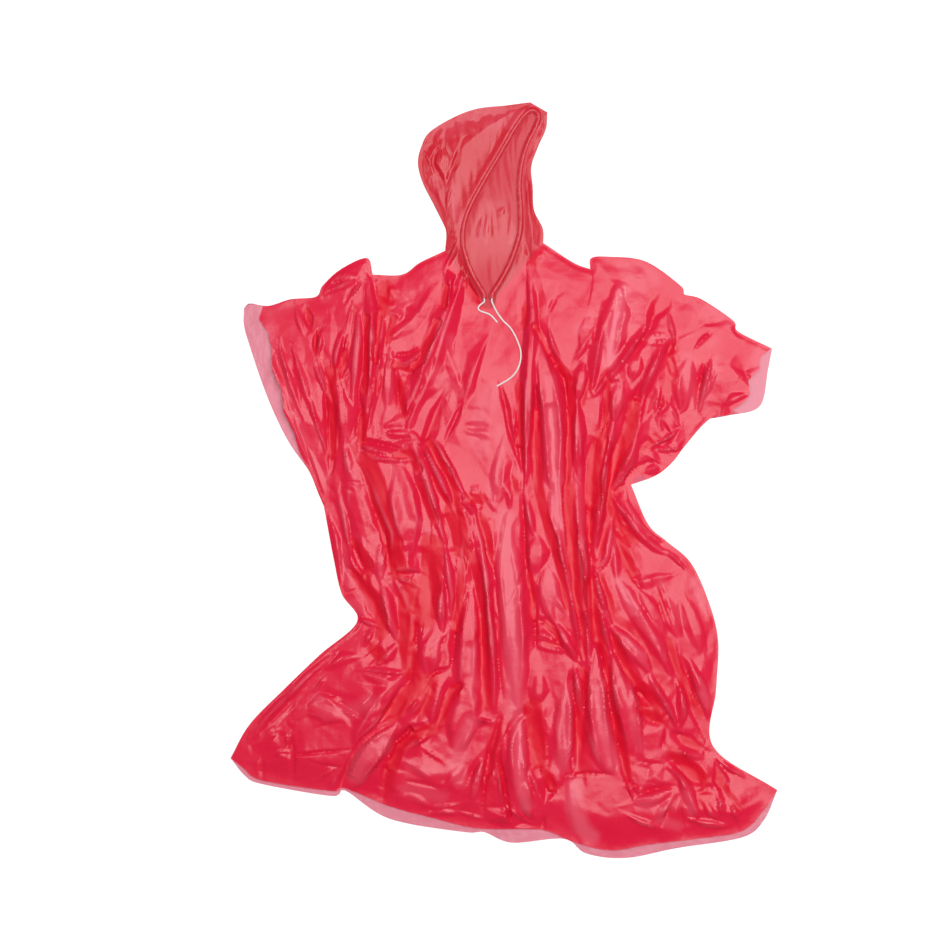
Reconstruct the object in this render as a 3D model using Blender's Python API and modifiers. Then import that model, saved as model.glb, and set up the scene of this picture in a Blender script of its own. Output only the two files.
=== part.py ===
"""A child's rain poncho of thin plastic film, laid out flat on its back.

Units are metres, +Z is up, and the garment lies on z = 0 with its hood towards +Y.
The tables below hold millimetres, because a cutter measures film in millimetres.

The film itself is far thinner than a wall that can be handled as a solid, so each
sheet is a wall of WALL, and sheets that are sealed together keep SEAM_GAP apart.
"""

import math
from collections import namedtuple

import bmesh
import bpy
from mathutils import Vector

MM = 0.001

# ---------------------------------------------------------------- driving sizes
WALL = 1.5 * MM                 # thickness of each sheet's wall
SEAM_GAP = 0.3 * MM             # gap between sheets that are sealed together
ARMHOLE_GAP = 0.6 * MM          # gap at an armhole, where the sleeve's folds stand out past its seam
LAYER_LIFT = WALL + 0.9 * MM    # middle of a lower layer to middle of the layer folded over it
FOLD_BULGE = 1.2 * MM           # how far a fold's round edge stands out past its two layers

CORD_DIAMETER = 2.4 * MM        # the drawstring
CORD_PITCH = 2 * CORD_DIAMETER  # distance between two points of a free end's route
CASING_CORD_POINTS = 78         # points of the drawstring's route in its channel
CORD_REST_GAP = 0.3 * MM        # drawstring to the film that it lies on
CORD_SETTLING = 30.0 * MM       # length over which a free end rises from its mouth onto the folds
CORD_CLEARANCE = 9.0 * MM       # how wide of the drawstring the folds are felt for

CASING_HALF_WIDTH = 4.5 * MM    # the drawstring's channel, across
CASING_HALF_HEIGHT = 2.8 * MM   # and upwards, round the drawstring
CASING_WALL = 1.0 * MM
CASING_GAP = 0.9 * MM           # channel to the hood beside it, so that their facets stay clear
CASING_SIDES = 8
CASING_STATIONS = 40
CASING_CROWDING = 0.55          # how much closer its stations lie at its mouths and over the hood's tip

FRONT_SHOULDER_COLUMNS = 6      # facets along each of the front's shoulders
NECK_SIDE_COLUMNS = 5           # down each side of its neckline, shared by the hood
MOUTH_COLUMNS = 4               # and below the mouths of the drawstring's channel
BACK_SHOULDER_COLUMNS = 4
BACK_NECK_COLUMNS = 6
ARMHOLE_ROWS = 10               # facets down an armhole, shared by body and sleeve
FRONT_SIDE_ROWS = 20            # facets from the armpit to the hem
BACK_SIDE_ROWS = 16
SLEEVE_STATIONS = 9             # facets from the armhole to the cuff
HOOD_STATIONS = 18              # facets from the neck to the crown

EDGE_FADE = 0.07                # share of a panel over which its folds die out to a flat seam
FRONT_BILLOW = 3.0 * MM         # how far the front sheet floats off the back between its folds
SLEEVE_BILLOW = 2.6 * MM
HOOD_BILLOW = 2.6 * MM

FILM_RED = (0.80, 0.045, 0.075, 1.0)
CORD_WHITE = (0.90, 0.88, 0.86, 1.0)

# ------------------------------------------------------------- outline, in millimetres
# "across" is towards +X and "up" is towards the hood, both from the middle of the laid garment.
Mark = namedtuple("Mark", "across up")

SHOULDER_LEFT = [Mark(-198, 308), Mark(-153, 308), Mark(-126, 326), Mark(-88, 344)]
SHOULDER_RIGHT = [Mark(58, 356), Mark(104, 326), Mark(130, 316)]

NECKLINE_LEFT = [Mark(-88, 344), Mark(-63, 306), Mark(-35, 270)]
NECKLINE_MOUTHS = [Mark(-35, 270), Mark(-32, 259), Mark(-24, 256), Mark(-16, 259), Mark(-12, 270)]
NECKLINE_RIGHT = [Mark(-12, 270), Mark(8, 296), Mark(38, 333), Mark(58, 356)]
NECKLINE_BACK = [Mark(-88, 344), Mark(-51, 351), Mark(24, 354), Mark(58, 356)]

ARMHOLE_LEFT = [
    Mark(-198, 308), Mark(-207, 225), Mark(-216, 120),
    Mark(-231, 45), Mark(-250, 0), Mark(-270, -39),
]
ARMHOLE_RIGHT = [Mark(130, 316), Mark(140, 225), Mark(150, 120), Mark(164, 45), Mark(190, -6)]

SIDE_LEFT = [
    Mark(-270, -39), Mark(-255, -120), Mark(-243, -171), Mark(-220, -212),
    Mark(-276, -262), Mark(-328, -312), Mark(-381, -366), Mark(-410, -417),
]
SIDE_RIGHT = [
    Mark(190, -6), Mark(216, -66), Mark(244, -92), Mark(280, -124), Mark(306, -180),
    Mark(321, -240), Mark(318, -315), Mark(314, -400), Mark(410, -465),
]

HEM_BACK = [
    Mark(-410, -417), Mark(-388, -444), Mark(-363, -456), Mark(-258, -474), Mark(-238, -466),
    Mark(-172, -508), Mark(-60, -528), Mark(-30, -528), Mark(12, -544), Mark(90, -538),
    Mark(123, -560), Mark(182, -567), Mark(260, -552), Mark(357, -536), Mark(390, -510),
    Mark(410, -465),
]
HEM_FRONT = [
    Mark(-410, -417), Mark(-390, -432), Mark(-363, -450), Mark(-258, -466), Mark(-238, -462),
    Mark(-171, -489), Mark(-108, -506), Mark(-39, -522), Mark(54, -524), Mark(106, -543),
    Mark(159, -555), Mark(219, -546), Mark(294, -537), Mark(357, -526), Mark(387, -498),
    Mark(410, -465),
]

SLEEVE_LEFT_TOP = [
    Mark(-198, 308), Mark(-207, 332), Mark(-246, 315), Mark(-273, 290), Mark(-282, 274),
    Mark(-321, 270), Mark(-354, 260), Mark(-381, 264), Mark(-390, 258),
]
SLEEVE_LEFT_CUFF = [
    Mark(-390, 258), Mark(-390, 232), Mark(-381, 200), Mark(-363, 146),
    Mark(-344, 99), Mark(-321, 54), Mark(-291, 12),
]
SLEEVE_LEFT_UNDER = [Mark(-270, -39), Mark(-279, -18), Mark(-291, 12)]

SLEEVE_RIGHT_TOP = [
    Mark(130, 316), Mark(132, 332), Mark(158, 334), Mark(213, 327), Mark(266, 290),
    Mark(270, 278), Mark(297, 270), Mark(344, 238), Mark(351, 222), Mark(402, 196),
]
SLEEVE_RIGHT_CUFF = [
    Mark(402, 196), Mark(396, 165), Mark(386, 114), Mark(357, 100), Mark(336, 106), Mark(314, 100),
]
SLEEVE_RIGHT_UNDER = [
    Mark(190, -6), Mark(228, 8), Mark(252, 27), Mark(270, 50), Mark(294, 78), Mark(314, 100),
]

HOOD_BACK_SEAM = [
    Mark(-88, 348), Mark(-87, 378), Mark(-100, 408), Mark(-120, 444), Mark(-129, 476), Mark(-124, 502),
    Mark(-111, 524), Mark(-74, 546), Mark(-39, 558), Mark(2, 562), Mark(40, 566),
]
HOOD_FRONT_FOLD = [
    Mark(58, 360), Mark(57, 381), Mark(44, 408), Mark(42, 442),
    Mark(40, 472), Mark(50, 501), Mark(62, 528), Mark(64, 552),
]

# The middle of the drawstring's channel, from its left mouth over the hood's tip to its right mouth.
CASING_ROUTE = [
    Mark(-30, 272), Mark(-31, 280), Mark(-50, 314), Mark(-62, 356), Mark(-56, 398), Mark(-32, 446),
    Mark(-6, 490), Mark(18, 531), Mark(34, 551), Mark(46, 554), Mark(52, 544), Mark(46, 526), Mark(36, 506),
    Mark(27, 477), Mark(23, 441), Mark(25, 402), Mark(23, 368), Mark(10, 328), Mark(-5, 299),
    Mark(-17, 280), Mark(-18, 272),
]

# The drawstring's free ends, from each mouth of the channel.
# Each starts a seam's gap below its mouth and runs straight out of it for two diameters.
LEFT_END_ROUTE = [
    Mark(-29.9, 271.7), Mark(-29.7, 267), Mark(-35, 263), Mark(-39, 257.5), Mark(-35, 253),
    Mark(-21, 247.5), Mark(-10, 236),
]
RIGHT_END_ROUTE = [
    Mark(-18, 271.7), Mark(-18.2, 267), Mark(-11, 252), Mark(-1, 238), Mark(10, 227), Mark(20, 208),
    Mark(25, 190), Mark(22, 170), Mark(11, 154), Mark(-11, 140),
]

# --------------------------------------------------------------- folds, in millimetres
# Each fold is a soft ridge from one end to the other: its height and half its width.
Fold = namedtuple("Fold", "name start end height half_width")

FRONT_FOLDS = [
    Fold("chest to left hem", Mark(-135, 68), Mark(-82, -160), 9, 17),
    Fold("left waist, upper", Mark(-144, 78), Mark(-76, -99), 10, 12),
    Fold("left waist, lower", Mark(-128, 84), Mark(-45, -57), 11, 13),
    Fold("left shoulder", Mark(-190, 292), Mark(-193, 105), 10, 15),
    Fold("neck to left waist", Mark(-64, 270), Mark(-146, 76), 12, 15),
    Fold("neck, second", Mark(-111, 270), Mark(-164, 120), 7, 14),
    Fold("middle of the body", Mark(2, 15), Mark(12, -330), 16, 30),
    Fold("middle, towards the hem", Mark(2, -350), Mark(-4, -490), 9, 22),
    Fold("right of the neck", Mark(41, 300), Mark(40, 2), 9, 12),
    Fold("right chest", Mark(76, 150), Mark(84, -120), 15, 22),
    Fold("right side, narrow", Mark(112, 60), Mark(117, -180), 10, 12),
    Fold("right armhole", Mark(128, 270), Mark(112, 60), 11, 16),
    Fold("armpit to the right side", Mark(168, -24), Mark(279, -120), 9, 16),
    Fold("right waist to the side", Mark(129, -122), Mark(268, -350), 13, 20),
    Fold("right waist to the hem", Mark(144, -240), Mark(166, -420), 13, 21),
    Fold("right of the middle", Mark(84, -255), Mark(87, -450), 9, 18),
    Fold("left side", Mark(-178, 0), Mark(-178, -180), 10, 16),
    Fold("left waist to the hem", Mark(-96, -120), Mark(-86, -250), 8, 14),
    Fold("flare, edge", Mark(-156, -315), Mark(-236, -440), 11, 15),
    Fold("flare to the hem", Mark(-51, -255), Mark(-111, -390), 8, 16),
    Fold("flare, across", Mark(-336, -382), Mark(-216, -315), 6, 22),
    Fold("right hem", Mark(214, -474), Mark(309, -458), 7, 18),
]
SLEEVE_LEFT_FOLDS = [
    Fold("cuff", Mark(-360, 225), Mark(-296, 75), 7, 13),
    Fold("middle", Mark(-312, 240), Mark(-268, 60), 9, 14),
    Fold("armhole", Mark(-240, 270), Mark(-252, 110), 10, 14),
]
SLEEVE_RIGHT_FOLDS = [
    Fold("shoulder", Mark(170, 285), Mark(160, 120), 12, 22),
    Fold("middle", Mark(240, 255), Mark(182, 60), 11, 16),
    Fold("under the arm", Mark(215, 55), Mark(270, 78), 7, 14),
    Fold("cuff", Mark(300, 165), Mark(290, 100), 8, 15),
]
HOOD_FOLDS = [
    Fold("crown to neck", Mark(-62, 520), Mark(-84, 420), 6, 16),
    Fold("along the face", Mark(-2, 528), Mark(-54, 430), 6, 12),
]


# ------------------------------------------------------------------- geometry helpers
def smoothstep(share):
    """Rise from 0 to 1 with level ends."""
    share = min(max(share, 0.0), 1.0)
    return share * share * (3.0 - 2.0 * share)


def to_metres(marks):
    """Turn a table's marks into plan points in metres."""
    return [Vector((mark.across * MM, mark.up * MM)) for mark in marks]


def curved(points, detail=12):
    """Thread a Catmull-Rom curve through the points."""
    ends = [points[0] * 2 - points[1]] + points + [points[-1] * 2 - points[-2]]
    threaded = [points[0]]
    for before, start, end, after in zip(ends, ends[1:], ends[2:], ends[3:]):
        for step in range(1, detail + 1):
            t = step / detail
            threaded.append(0.5 * (
                2 * start + (end - before) * t
                + (2 * before - 5 * start + 4 * end - after) * t * t
                + (3 * start - before - 3 * end + after) * t ** 3))
    return threaded


class Edge:
    """A line in plan that is read by its share of length."""

    def __init__(self, points):
        self.points = points
        self.reach = [0.0]
        for start, end in zip(points, points[1:]):
            self.reach.append(self.reach[-1] + (end - start).length)

    @classmethod
    def from_marks(cls, table):
        return cls(curved(to_metres(table)))

    @property
    def length(self):
        return self.reach[-1]

    def at(self, share):
        """The point at a share of the edge's length."""
        wanted = min(max(share, 0.0), 1.0) * self.length
        for index in range(1, len(self.points)):
            if self.reach[index] >= wanted or index == len(self.points) - 1:
                start, end = self.points[index - 1], self.points[index]
                span = self.reach[index] - self.reach[index - 1]
                return start.lerp(end, (wanted - self.reach[index - 1]) / span)

    def between(self, low, high, count=60):
        """The stretch from one share to another as an edge of its own."""
        return Edge([self.at(low + (high - low) * step / count) for step in range(count + 1)])


class EdgeBeside:
    """A line a steady distance from an edge, to the left of the edge's direction when above zero.

    It is read at the same shares as its edge, so the facets of two sealed sheets face each other.
    """

    def __init__(self, edge, distance):
        self.edge, self.distance = edge, distance

    def at(self, share):
        along = (self.edge.at(share + 0.01) - self.edge.at(share - 0.01)).normalized()
        return self.edge.at(share) + Vector((-along.y, along.x)) * self.distance


class JoinedEdge:
    """Stretches end to end, each with its own number of facets, so that corners stay sharp."""

    def __init__(self, *stretches):
        self.stretches = [(Edge.from_marks(table), facets) for table, facets in stretches]
        self.facets = sum(facets for _, facets in stretches)

    def at(self, share):
        step = share * self.facets
        for edge, facets in self.stretches:
            if step <= facets:
                return edge.at(step / facets)
            step -= facets
        return self.stretches[-1][0].at(1.0)


class Patch:
    """A panel in plan, blended between its four edges.

    u runs from the left edge to the right edge, and v from the top edge to the bottom edge.
    The top and bottom are met exactly; a side that starts beside a corner is drawn over to it.
    """

    def __init__(self, top, bottom, left, right):
        self.top, self.bottom, self.left, self.right = top, bottom, left, right

    def at(self, u, v):
        across = self.top.at(u).lerp(self.bottom.at(u), v)
        down = self.left.at(v).lerp(self.right.at(v), u)
        corners = self.left.at(0).lerp(self.right.at(0), u).lerp(
            self.left.at(1).lerp(self.right.at(1), u), v)
        return across + down - corners


def fold_height(folds, point):
    """Height of the folds over a plan point; folds that cross blend and do not add up."""
    total = 0.0
    for fold in folds:
        start = Vector(fold.start) * MM
        line = Vector(fold.end) * MM - start
        share = min(max((point - start).dot(line) / line.length_squared, 0.0), 1.0)
        away = (point - start - line * share).length / (fold.half_width * MM)
        if away < 1.0:
            taper = 0.35 + 0.65 * math.sin(math.pi * min(max(share, 0.0), 1.0))
            total += (fold.height * MM * taper * (1.0 - away * away) ** 2) ** 2
    return math.sqrt(total)


def edge_fade(u, v):
    """1 inside a panel, falling to 0 at its four edges."""
    nearest = min(u, 1.0 - u, v, 1.0 - v)
    return smoothstep(nearest / EDGE_FADE)


# ------------------------------------------------------------------- object helpers
def film_material(name, colour, roughness):
    material = bpy.data.materials.new(name)
    material.use_nodes = True
    shader = material.node_tree.nodes["Principled BSDF"]
    shader.inputs["Base Color"].default_value = colour
    shader.inputs["Roughness"].default_value = roughness
    shader.inputs["Metallic"].default_value = 0.0
    material.diffuse_color = colour
    return material


def place(name, data, material, garment):
    """Make an object in the garment's collection, held by the garment's empty."""
    made = bpy.data.objects.new(name, data)
    made.data.materials.append(material)
    garment["collection"].objects.link(made)
    made.parent = garment["origin"]
    return made


def sheet(name, columns, rows, shape, material, garment, wall=WALL, outward=0.0, wrapped=False):
    """A wall from a grid whose points shape(u, v) puts in place; wrapped joins u = 1 to u = 0."""
    bm = bmesh.new()
    bmesh.ops.create_grid(bm, x_segments=columns, y_segments=rows, size=0.5)
    for vertex in bm.verts:
        vertex.co = shape(vertex.co.x + 0.5, 0.5 - vertex.co.y)
    if wrapped:
        bmesh.ops.remove_doubles(bm, verts=bm.verts, dist=0.00001)
    mesh = bpy.data.meshes.new(name)
    bm.to_mesh(mesh)
    bm.free()
    made = place(name, mesh, material, garment)
    thickness = made.modifiers.new("film wall", "SOLIDIFY")
    thickness.thickness = wall
    thickness.offset = outward
    for polygon in mesh.polygons:
        polygon.use_smooth = True
    return made


def cord(name, points, material, garment):
    """A drawstring along its points: a bevelled curve with filled caps."""
    curve = bpy.data.curves.new(name, "CURVE")
    curve.dimensions = "3D"
    curve.bevel_depth = CORD_DIAMETER / 2
    curve.bevel_resolution = 2
    curve.use_fill_caps = True
    spline = curve.splines.new("POLY")
    spline.points.add(len(points) - 1)
    for knot, point in zip(spline.points, points):
        knot.co = (*point, 1.0)
    return place(name, curve, material, garment)


# ------------------------------------------------------------------------ the pieces
BACK_LEVEL = WALL / 2
FRONT_LEVEL = WALL + SEAM_GAP + WALL / 2
HOOD_UPPER_LEVEL = BACK_LEVEL + LAYER_LIFT
CORD_LEVEL = FRONT_LEVEL + WALL / 2 + CORD_REST_GAP + CORD_DIAMETER / 2


def body_patch(hem, side_rows, shoulder_columns, *neckline):
    """The front's or the back's plan, which share their shoulders, armholes and side seams."""
    return Patch(
        top=JoinedEdge((SHOULDER_LEFT, shoulder_columns), *neckline, (SHOULDER_RIGHT, shoulder_columns)),
        bottom=Edge.from_marks(hem),
        left=JoinedEdge((ARMHOLE_LEFT, ARMHOLE_ROWS), (SIDE_LEFT, side_rows)),
        right=JoinedEdge((ARMHOLE_RIGHT, ARMHOLE_ROWS), (SIDE_RIGHT, side_rows)))


def back_panel(film, garment):
    """The back: flat on the surface all over."""
    plan = body_patch(HEM_BACK, BACK_SIDE_ROWS, BACK_SHOULDER_COLUMNS, (NECKLINE_BACK, BACK_NECK_COLUMNS))
    return sheet("back_panel", plan.top.facets, plan.left.facets,
                 lambda u, v: (*plan.at(u, v), BACK_LEVEL), film, garment)


def front_panel(film, garment):
    """The front: a loose sheet over the back, up in folds, flat where it is sealed."""
    plan = body_patch(
        HEM_FRONT, FRONT_SIDE_ROWS, FRONT_SHOULDER_COLUMNS, (NECKLINE_LEFT, NECK_SIDE_COLUMNS),
        (NECKLINE_MOUTHS, MOUTH_COLUMNS), (NECKLINE_RIGHT, NECK_SIDE_COLUMNS))

    def shape(u, v):
        point = plan.at(u, v)
        lift = (FRONT_BILLOW + fold_height(FRONT_FOLDS, point)) * edge_fade(u, v)
        return (*point, FRONT_LEVEL + lift)

    return sheet("front_panel", plan.top.facets, plan.left.facets, shape, film, garment)


def sleeve(name, top, cuff, under, armhole, folds, side, film, garment):
    """A flat tube of film, open at the armhole and at the cuff.

    The tube's ring goes along its lower layer, round the underarm fold, back along its
    upper layer and round the shoulder fold. side is -1 for the left and 1 for the right.
    """
    plan = Patch(
        top=EdgeBeside(Edge.from_marks(armhole), side * ARMHOLE_GAP),
        bottom=Edge.from_marks(cuff),
        left=Edge.from_marks(top),
        right=Edge.from_marks(under))
    layer = ARMHOLE_ROWS                    # facets across one layer
    ring = 2 * layer + 4                    # and round both layers with a fold at each end

    def shape(u, v):
        step = round(u * ring) % ring
        if step <= layer:
            share, level, bulge = step / layer, BACK_LEVEL, 0.0
        elif step == layer + 1:
            share, level, bulge = 1.0, BACK_LEVEL + LAYER_LIFT / 2, 1.0
        elif step <= 2 * layer + 2:
            share, level, bulge = (2 * layer + 2 - step) / layer, BACK_LEVEL + LAYER_LIFT, 0.0
        else:
            share, level, bulge = 0.0, BACK_LEVEL + LAYER_LIFT / 2, -1.0
        point = plan.at(share, v)
        if bulge:
            outwards = (plan.at(share, v) - plan.at(share - bulge * 0.02, v)).normalized()
            point = point + outwards * FOLD_BULGE
        elif level > BACK_LEVEL:
            lift = SLEEVE_BILLOW + fold_height(folds, point)
            level += lift * edge_fade(share, v)
        return (*point, level)

    return sheet(name, ring, SLEEVE_STATIONS, shape, film, garment, wrapped=True)


def casing_route():
    """The middle line of the drawstring's channel."""
    return Edge.from_marks(CASING_ROUTE)


def hood_far_half(film, garment):
    """The hood half against the surface, folded round at its front so that its edge lies on top."""
    back = Edge.from_marks(HOOD_BACK_SEAM)
    fold = Edge.from_marks(HOOD_FRONT_FOLD)
    casing = EdgeBeside(casing_route().between(1.0, 0.58), -CASING_HALF_WIDTH - CASING_GAP)
    neck = EdgeBeside(Edge.from_marks(NECKLINE_BACK), SEAM_GAP)
    lower = Patch(top=neck, bottom=Edge([back.at(1), fold.at(1)]), left=back, right=fold)
    band = Patch(
        top=EdgeBeside(Edge.from_marks(NECKLINE_RIGHT[::-1]), -SEAM_GAP),
        bottom=Edge([fold.at(1), casing.at(1)]), left=fold, right=casing)
    columns = BACK_NECK_COLUMNS + 2 + NECK_SIDE_COLUMNS

    def shape(u, v):
        step = round(u * columns)
        if step <= BACK_NECK_COLUMNS:
            return (*lower.at(step / BACK_NECK_COLUMNS, v), BACK_LEVEL)
        if step == BACK_NECK_COLUMNS + 1:
            point = fold.at(v)
            outwards = (point - lower.at(0.9, v)).normalized()
            return (*(point + outwards * FOLD_BULGE), BACK_LEVEL + LAYER_LIFT / 2)
        share = (step - BACK_NECK_COLUMNS - 2) / NECK_SIDE_COLUMNS
        return (*band.at(share, v), HOOD_UPPER_LEVEL)

    return sheet("hood_far_half", columns, HOOD_STATIONS, shape, film, garment)


def hood_near_half(film, garment):
    """The hood half on top, from its back seam to the drawstring's channel."""
    back = Edge.from_marks(HOOD_BACK_SEAM)
    casing = EdgeBeside(casing_route().between(0.0, 0.49), CASING_HALF_WIDTH + CASING_GAP)
    neck = EdgeBeside(Edge.from_marks(NECKLINE_LEFT), SEAM_GAP)
    plan = Patch(top=neck, bottom=Edge([back.at(1), casing.at(1)]), left=back, right=casing)

    def shape(u, v):
        point = plan.at(u, v)
        lift = (HOOD_BILLOW + fold_height(HOOD_FOLDS, point)) * edge_fade(u, v)
        return (*point, HOOD_UPPER_LEVEL + lift)

    return sheet("hood_near_half", NECK_SIDE_COLUMNS, HOOD_STATIONS, shape, film, garment)


def hood_casing(film, garment):
    """The drawstring's channel: an oval tube along the face opening, open at both mouths."""
    route = casing_route()

    def shape(u, v):
        turn = 2 * math.pi * u
        share = v - CASING_CROWDING * math.sin(4 * math.pi * v) / (4 * math.pi)
        along = (route.at(share + 0.01) - route.at(share - 0.01)).normalized()
        sideways = Vector((along.y, -along.x)) * (CASING_HALF_WIDTH * math.cos(turn))
        return (*(route.at(share) + sideways), CORD_LEVEL + CASING_HALF_HEIGHT * math.sin(turn))

    return sheet("hood_casing", CASING_SIDES, CASING_STATIONS, shape, film, garment,
                 wall=CASING_WALL, outward=-1.0, wrapped=True)


def drawstring_in_casing(white, garment):
    """The stretch of drawstring inside its channel."""
    route = casing_route()
    last = CASING_CORD_POINTS - 1
    points = [(*route.at(step / last), CORD_LEVEL) for step in range(CASING_CORD_POINTS)]
    return cord("drawstring_in_casing", points, white, garment)


def free_end(name, marks, white, garment):
    """A free end, out of its mouth and along the front."""
    route = Edge.from_marks(marks)
    count = math.ceil(route.length / CORD_PITCH)
    points = []
    for step in range(count + 1):
        point = route.at(step / count)
        settled = smoothstep(step / count * route.length / CORD_SETTLING)
        points.append((*point, CORD_LEVEL + settled * front_rise(point)))
    return cord(name, points, white, garment)


def front_rise(point):
    """How high the front stands under a plan point or just beside it."""
    around = [point] + [
        point + Vector((math.cos(turn), math.sin(turn))) * CORD_CLEARANCE
        for turn in (math.pi * step / 3 for step in range(6))]
    return FRONT_BILLOW + max(fold_height(FRONT_FOLDS, near) for near in around)


# --------------------------------------------------------------------------- build
def clear_scene():
    for old in list(bpy.data.objects):
        bpy.data.objects.remove(old, do_unlink=True)


def new_garment():
    collection = bpy.data.collections.new("rain_poncho")
    bpy.context.scene.collection.children.link(collection)
    origin = bpy.data.objects.new("poncho_origin", None)
    collection.objects.link(origin)
    return {"collection": collection, "origin": origin}


def centre_on_surface(origin, cloth):
    """Move the garment so that the world's origin is under the middle of its outline."""
    corners = [Vector(corner) for piece in cloth for corner in piece.bound_box]
    low = [min(corner[axis] for corner in corners) for axis in range(3)]
    high = [max(corner[axis] for corner in corners) for axis in range(3)]
    origin.location = (-(low[0] + high[0]) / 2, -(low[1] + high[1]) / 2, 0.0)


def main():
    clear_scene()
    garment = new_garment()
    film = film_material("red film", FILM_RED, 0.30)
    casing_film = film_material("red film, folded", FILM_RED, 0.32)
    white = film_material("white cord", CORD_WHITE, 0.75)
    cloth = [
        back_panel(film, garment),
        front_panel(film, garment),
        sleeve("sleeve_left", SLEEVE_LEFT_TOP, SLEEVE_LEFT_CUFF, SLEEVE_LEFT_UNDER,
               ARMHOLE_LEFT, SLEEVE_LEFT_FOLDS, -1, film, garment),
        sleeve("sleeve_right", SLEEVE_RIGHT_TOP, SLEEVE_RIGHT_CUFF, SLEEVE_RIGHT_UNDER,
               ARMHOLE_RIGHT, SLEEVE_RIGHT_FOLDS, 1, film, garment),
        hood_far_half(film, garment),
        hood_near_half(film, garment),
        hood_casing(casing_film, garment),
    ]
    drawstring_in_casing(white, garment)
    free_end("drawstring_left_end", LEFT_END_ROUTE, white, garment)
    free_end("drawstring_right_end", RIGHT_END_ROUTE, white, garment)
    bpy.context.view_layer.update()
    centre_on_surface(garment["origin"], cloth)


main()
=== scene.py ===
"""A child's rain poncho of thin red plastic film, laid out flat on its back.

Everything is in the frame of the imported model: metres, +Z up, the garment on z = 0
and its hood towards +Y. The tables hold millimetres, the unit that film is cut in.
"""

import logging
import math
from dataclasses import dataclass, field
from enum import Enum
from typing import Callable, Iterator, NamedTuple, Sequence

import bpy
import numpy as np
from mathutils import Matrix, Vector
from mathutils.bvhtree import BVHTree
from mathutils.geometry import delaunay_2d_cdt
from mathutils.kdtree import KDTree


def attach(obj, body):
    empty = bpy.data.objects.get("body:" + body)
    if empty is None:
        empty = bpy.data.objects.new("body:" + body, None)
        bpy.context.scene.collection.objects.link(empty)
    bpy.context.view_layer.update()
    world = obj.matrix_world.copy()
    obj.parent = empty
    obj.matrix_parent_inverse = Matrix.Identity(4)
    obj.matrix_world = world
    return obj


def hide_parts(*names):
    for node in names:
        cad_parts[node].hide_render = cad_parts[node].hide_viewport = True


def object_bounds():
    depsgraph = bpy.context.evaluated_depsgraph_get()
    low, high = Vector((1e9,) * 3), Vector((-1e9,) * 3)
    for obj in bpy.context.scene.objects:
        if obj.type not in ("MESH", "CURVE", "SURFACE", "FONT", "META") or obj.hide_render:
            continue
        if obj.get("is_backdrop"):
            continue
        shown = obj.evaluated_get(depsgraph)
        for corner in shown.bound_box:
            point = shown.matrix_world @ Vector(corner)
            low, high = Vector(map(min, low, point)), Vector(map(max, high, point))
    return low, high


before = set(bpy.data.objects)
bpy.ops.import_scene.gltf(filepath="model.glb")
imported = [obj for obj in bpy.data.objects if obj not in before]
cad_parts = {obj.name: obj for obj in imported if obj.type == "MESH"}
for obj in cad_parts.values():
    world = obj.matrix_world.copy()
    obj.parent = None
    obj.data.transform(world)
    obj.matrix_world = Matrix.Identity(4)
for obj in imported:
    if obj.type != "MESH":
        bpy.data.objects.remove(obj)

CAD_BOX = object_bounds()
MM = 0.001
ROOT = "root"

log = logging.getLogger("rain_poncho")


class Slot(Enum):
    """The record's material slots."""

    FILM = "red_film"
    HEM = "red_film_hem"
    CORD = "white_cord"


class Mark(NamedTuple):
    """A point in plan, in millimetres from the middle of the laid garment."""

    across: float
    up: float


def marks(*places: tuple[float, float]) -> list[Mark]:
    """Name the coordinates of places."""
    return [Mark(*place) for place in places]


# --------------------------------------------------------------------------- sizes
@dataclass(frozen=True)
class FilmSizes:
    """How the sheets of film lie over each other, in metres."""

    back_level: float = 0.9 * MM
    seam_level: float = 1.5 * MM
    front_level: float = 3.5 * MM
    seam_gap: float = 0.0
    armhole_gap: float = -1.0 * MM
    tuck: float = 0.3 * MM
    fold_bulge: float = 1.0 * MM
    least_gap: float = 0.5 * MM
    pleat_fade: float = 20 * MM
    under_share: float = 0.9         # how much of the fine crumples a lower layer has
    under_limit: float = 0.5 * MM    # how far they may rise or sink there
    under_offset: float = 0.4        # how far aside they are read, so that layers differ


@dataclass(frozen=True)
class CordSizes:
    """The drawstring, in metres."""

    diameter: float = 2.4 * MM
    level: float = 4.8 * MM
    sunk: float = 1.0 * MM
    sinking: float = 16.0            # how soon it has sunk, counted from a mouth
    rest_gap: float = 0.2 * MM
    settling: float = 30.0 * MM
    left_length: float = 0.056
    right_length: float = 0.161


@dataclass(frozen=True)
class ChannelSizes:
    """The hemmed channel round the face opening, in metres, and its gathers."""

    half_width: float = 4.5 * MM
    half_height: float = 1.5 * MM
    lap: float = 2.0 * MM            # how far the hood's halves reach under it
    gathers: int = 46
    gather_depth: float = 0.08
    gather_width: float = 0.07
    drifts: int = 7                  # how often the gathers' spacing changes
    drift: float = 1.5               # how far it does, in radians
    ring_cells: int = 20
    length_cells: int = 420


FILM = FilmSizes()
CORD = CordSizes()
CHANNEL = ChannelSizes()


# --------------------------------------------------------------------- the outline
SHOULDER_LEFT = marks((-198, 308), (-153, 308), (-126, 326), (-88, 344))
SHOULDER_RIGHT = marks((58, 356), (104, 326), (130, 316))

NECKLINE_LEFT = marks((-88, 344), (-63, 306), (-35, 270))
NECKLINE_MOUTHS = marks((-35, 270), (-32, 259), (-24, 256), (-16, 259), (-12, 270))
NECKLINE_RIGHT = marks((-12, 270), (8, 296), (38, 333), (58, 356))
NECKLINE_BACK = marks((-88, 344), (-51, 351), (24, 354), (58, 356))

ARMHOLE_LEFT = marks((-198, 308), (-207, 225), (-216, 120), (-231, 45), (-250, 0), (-270, -39))
ARMHOLE_RIGHT = marks((130, 316), (140, 225), (150, 120), (164, 45), (190, -6))

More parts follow.
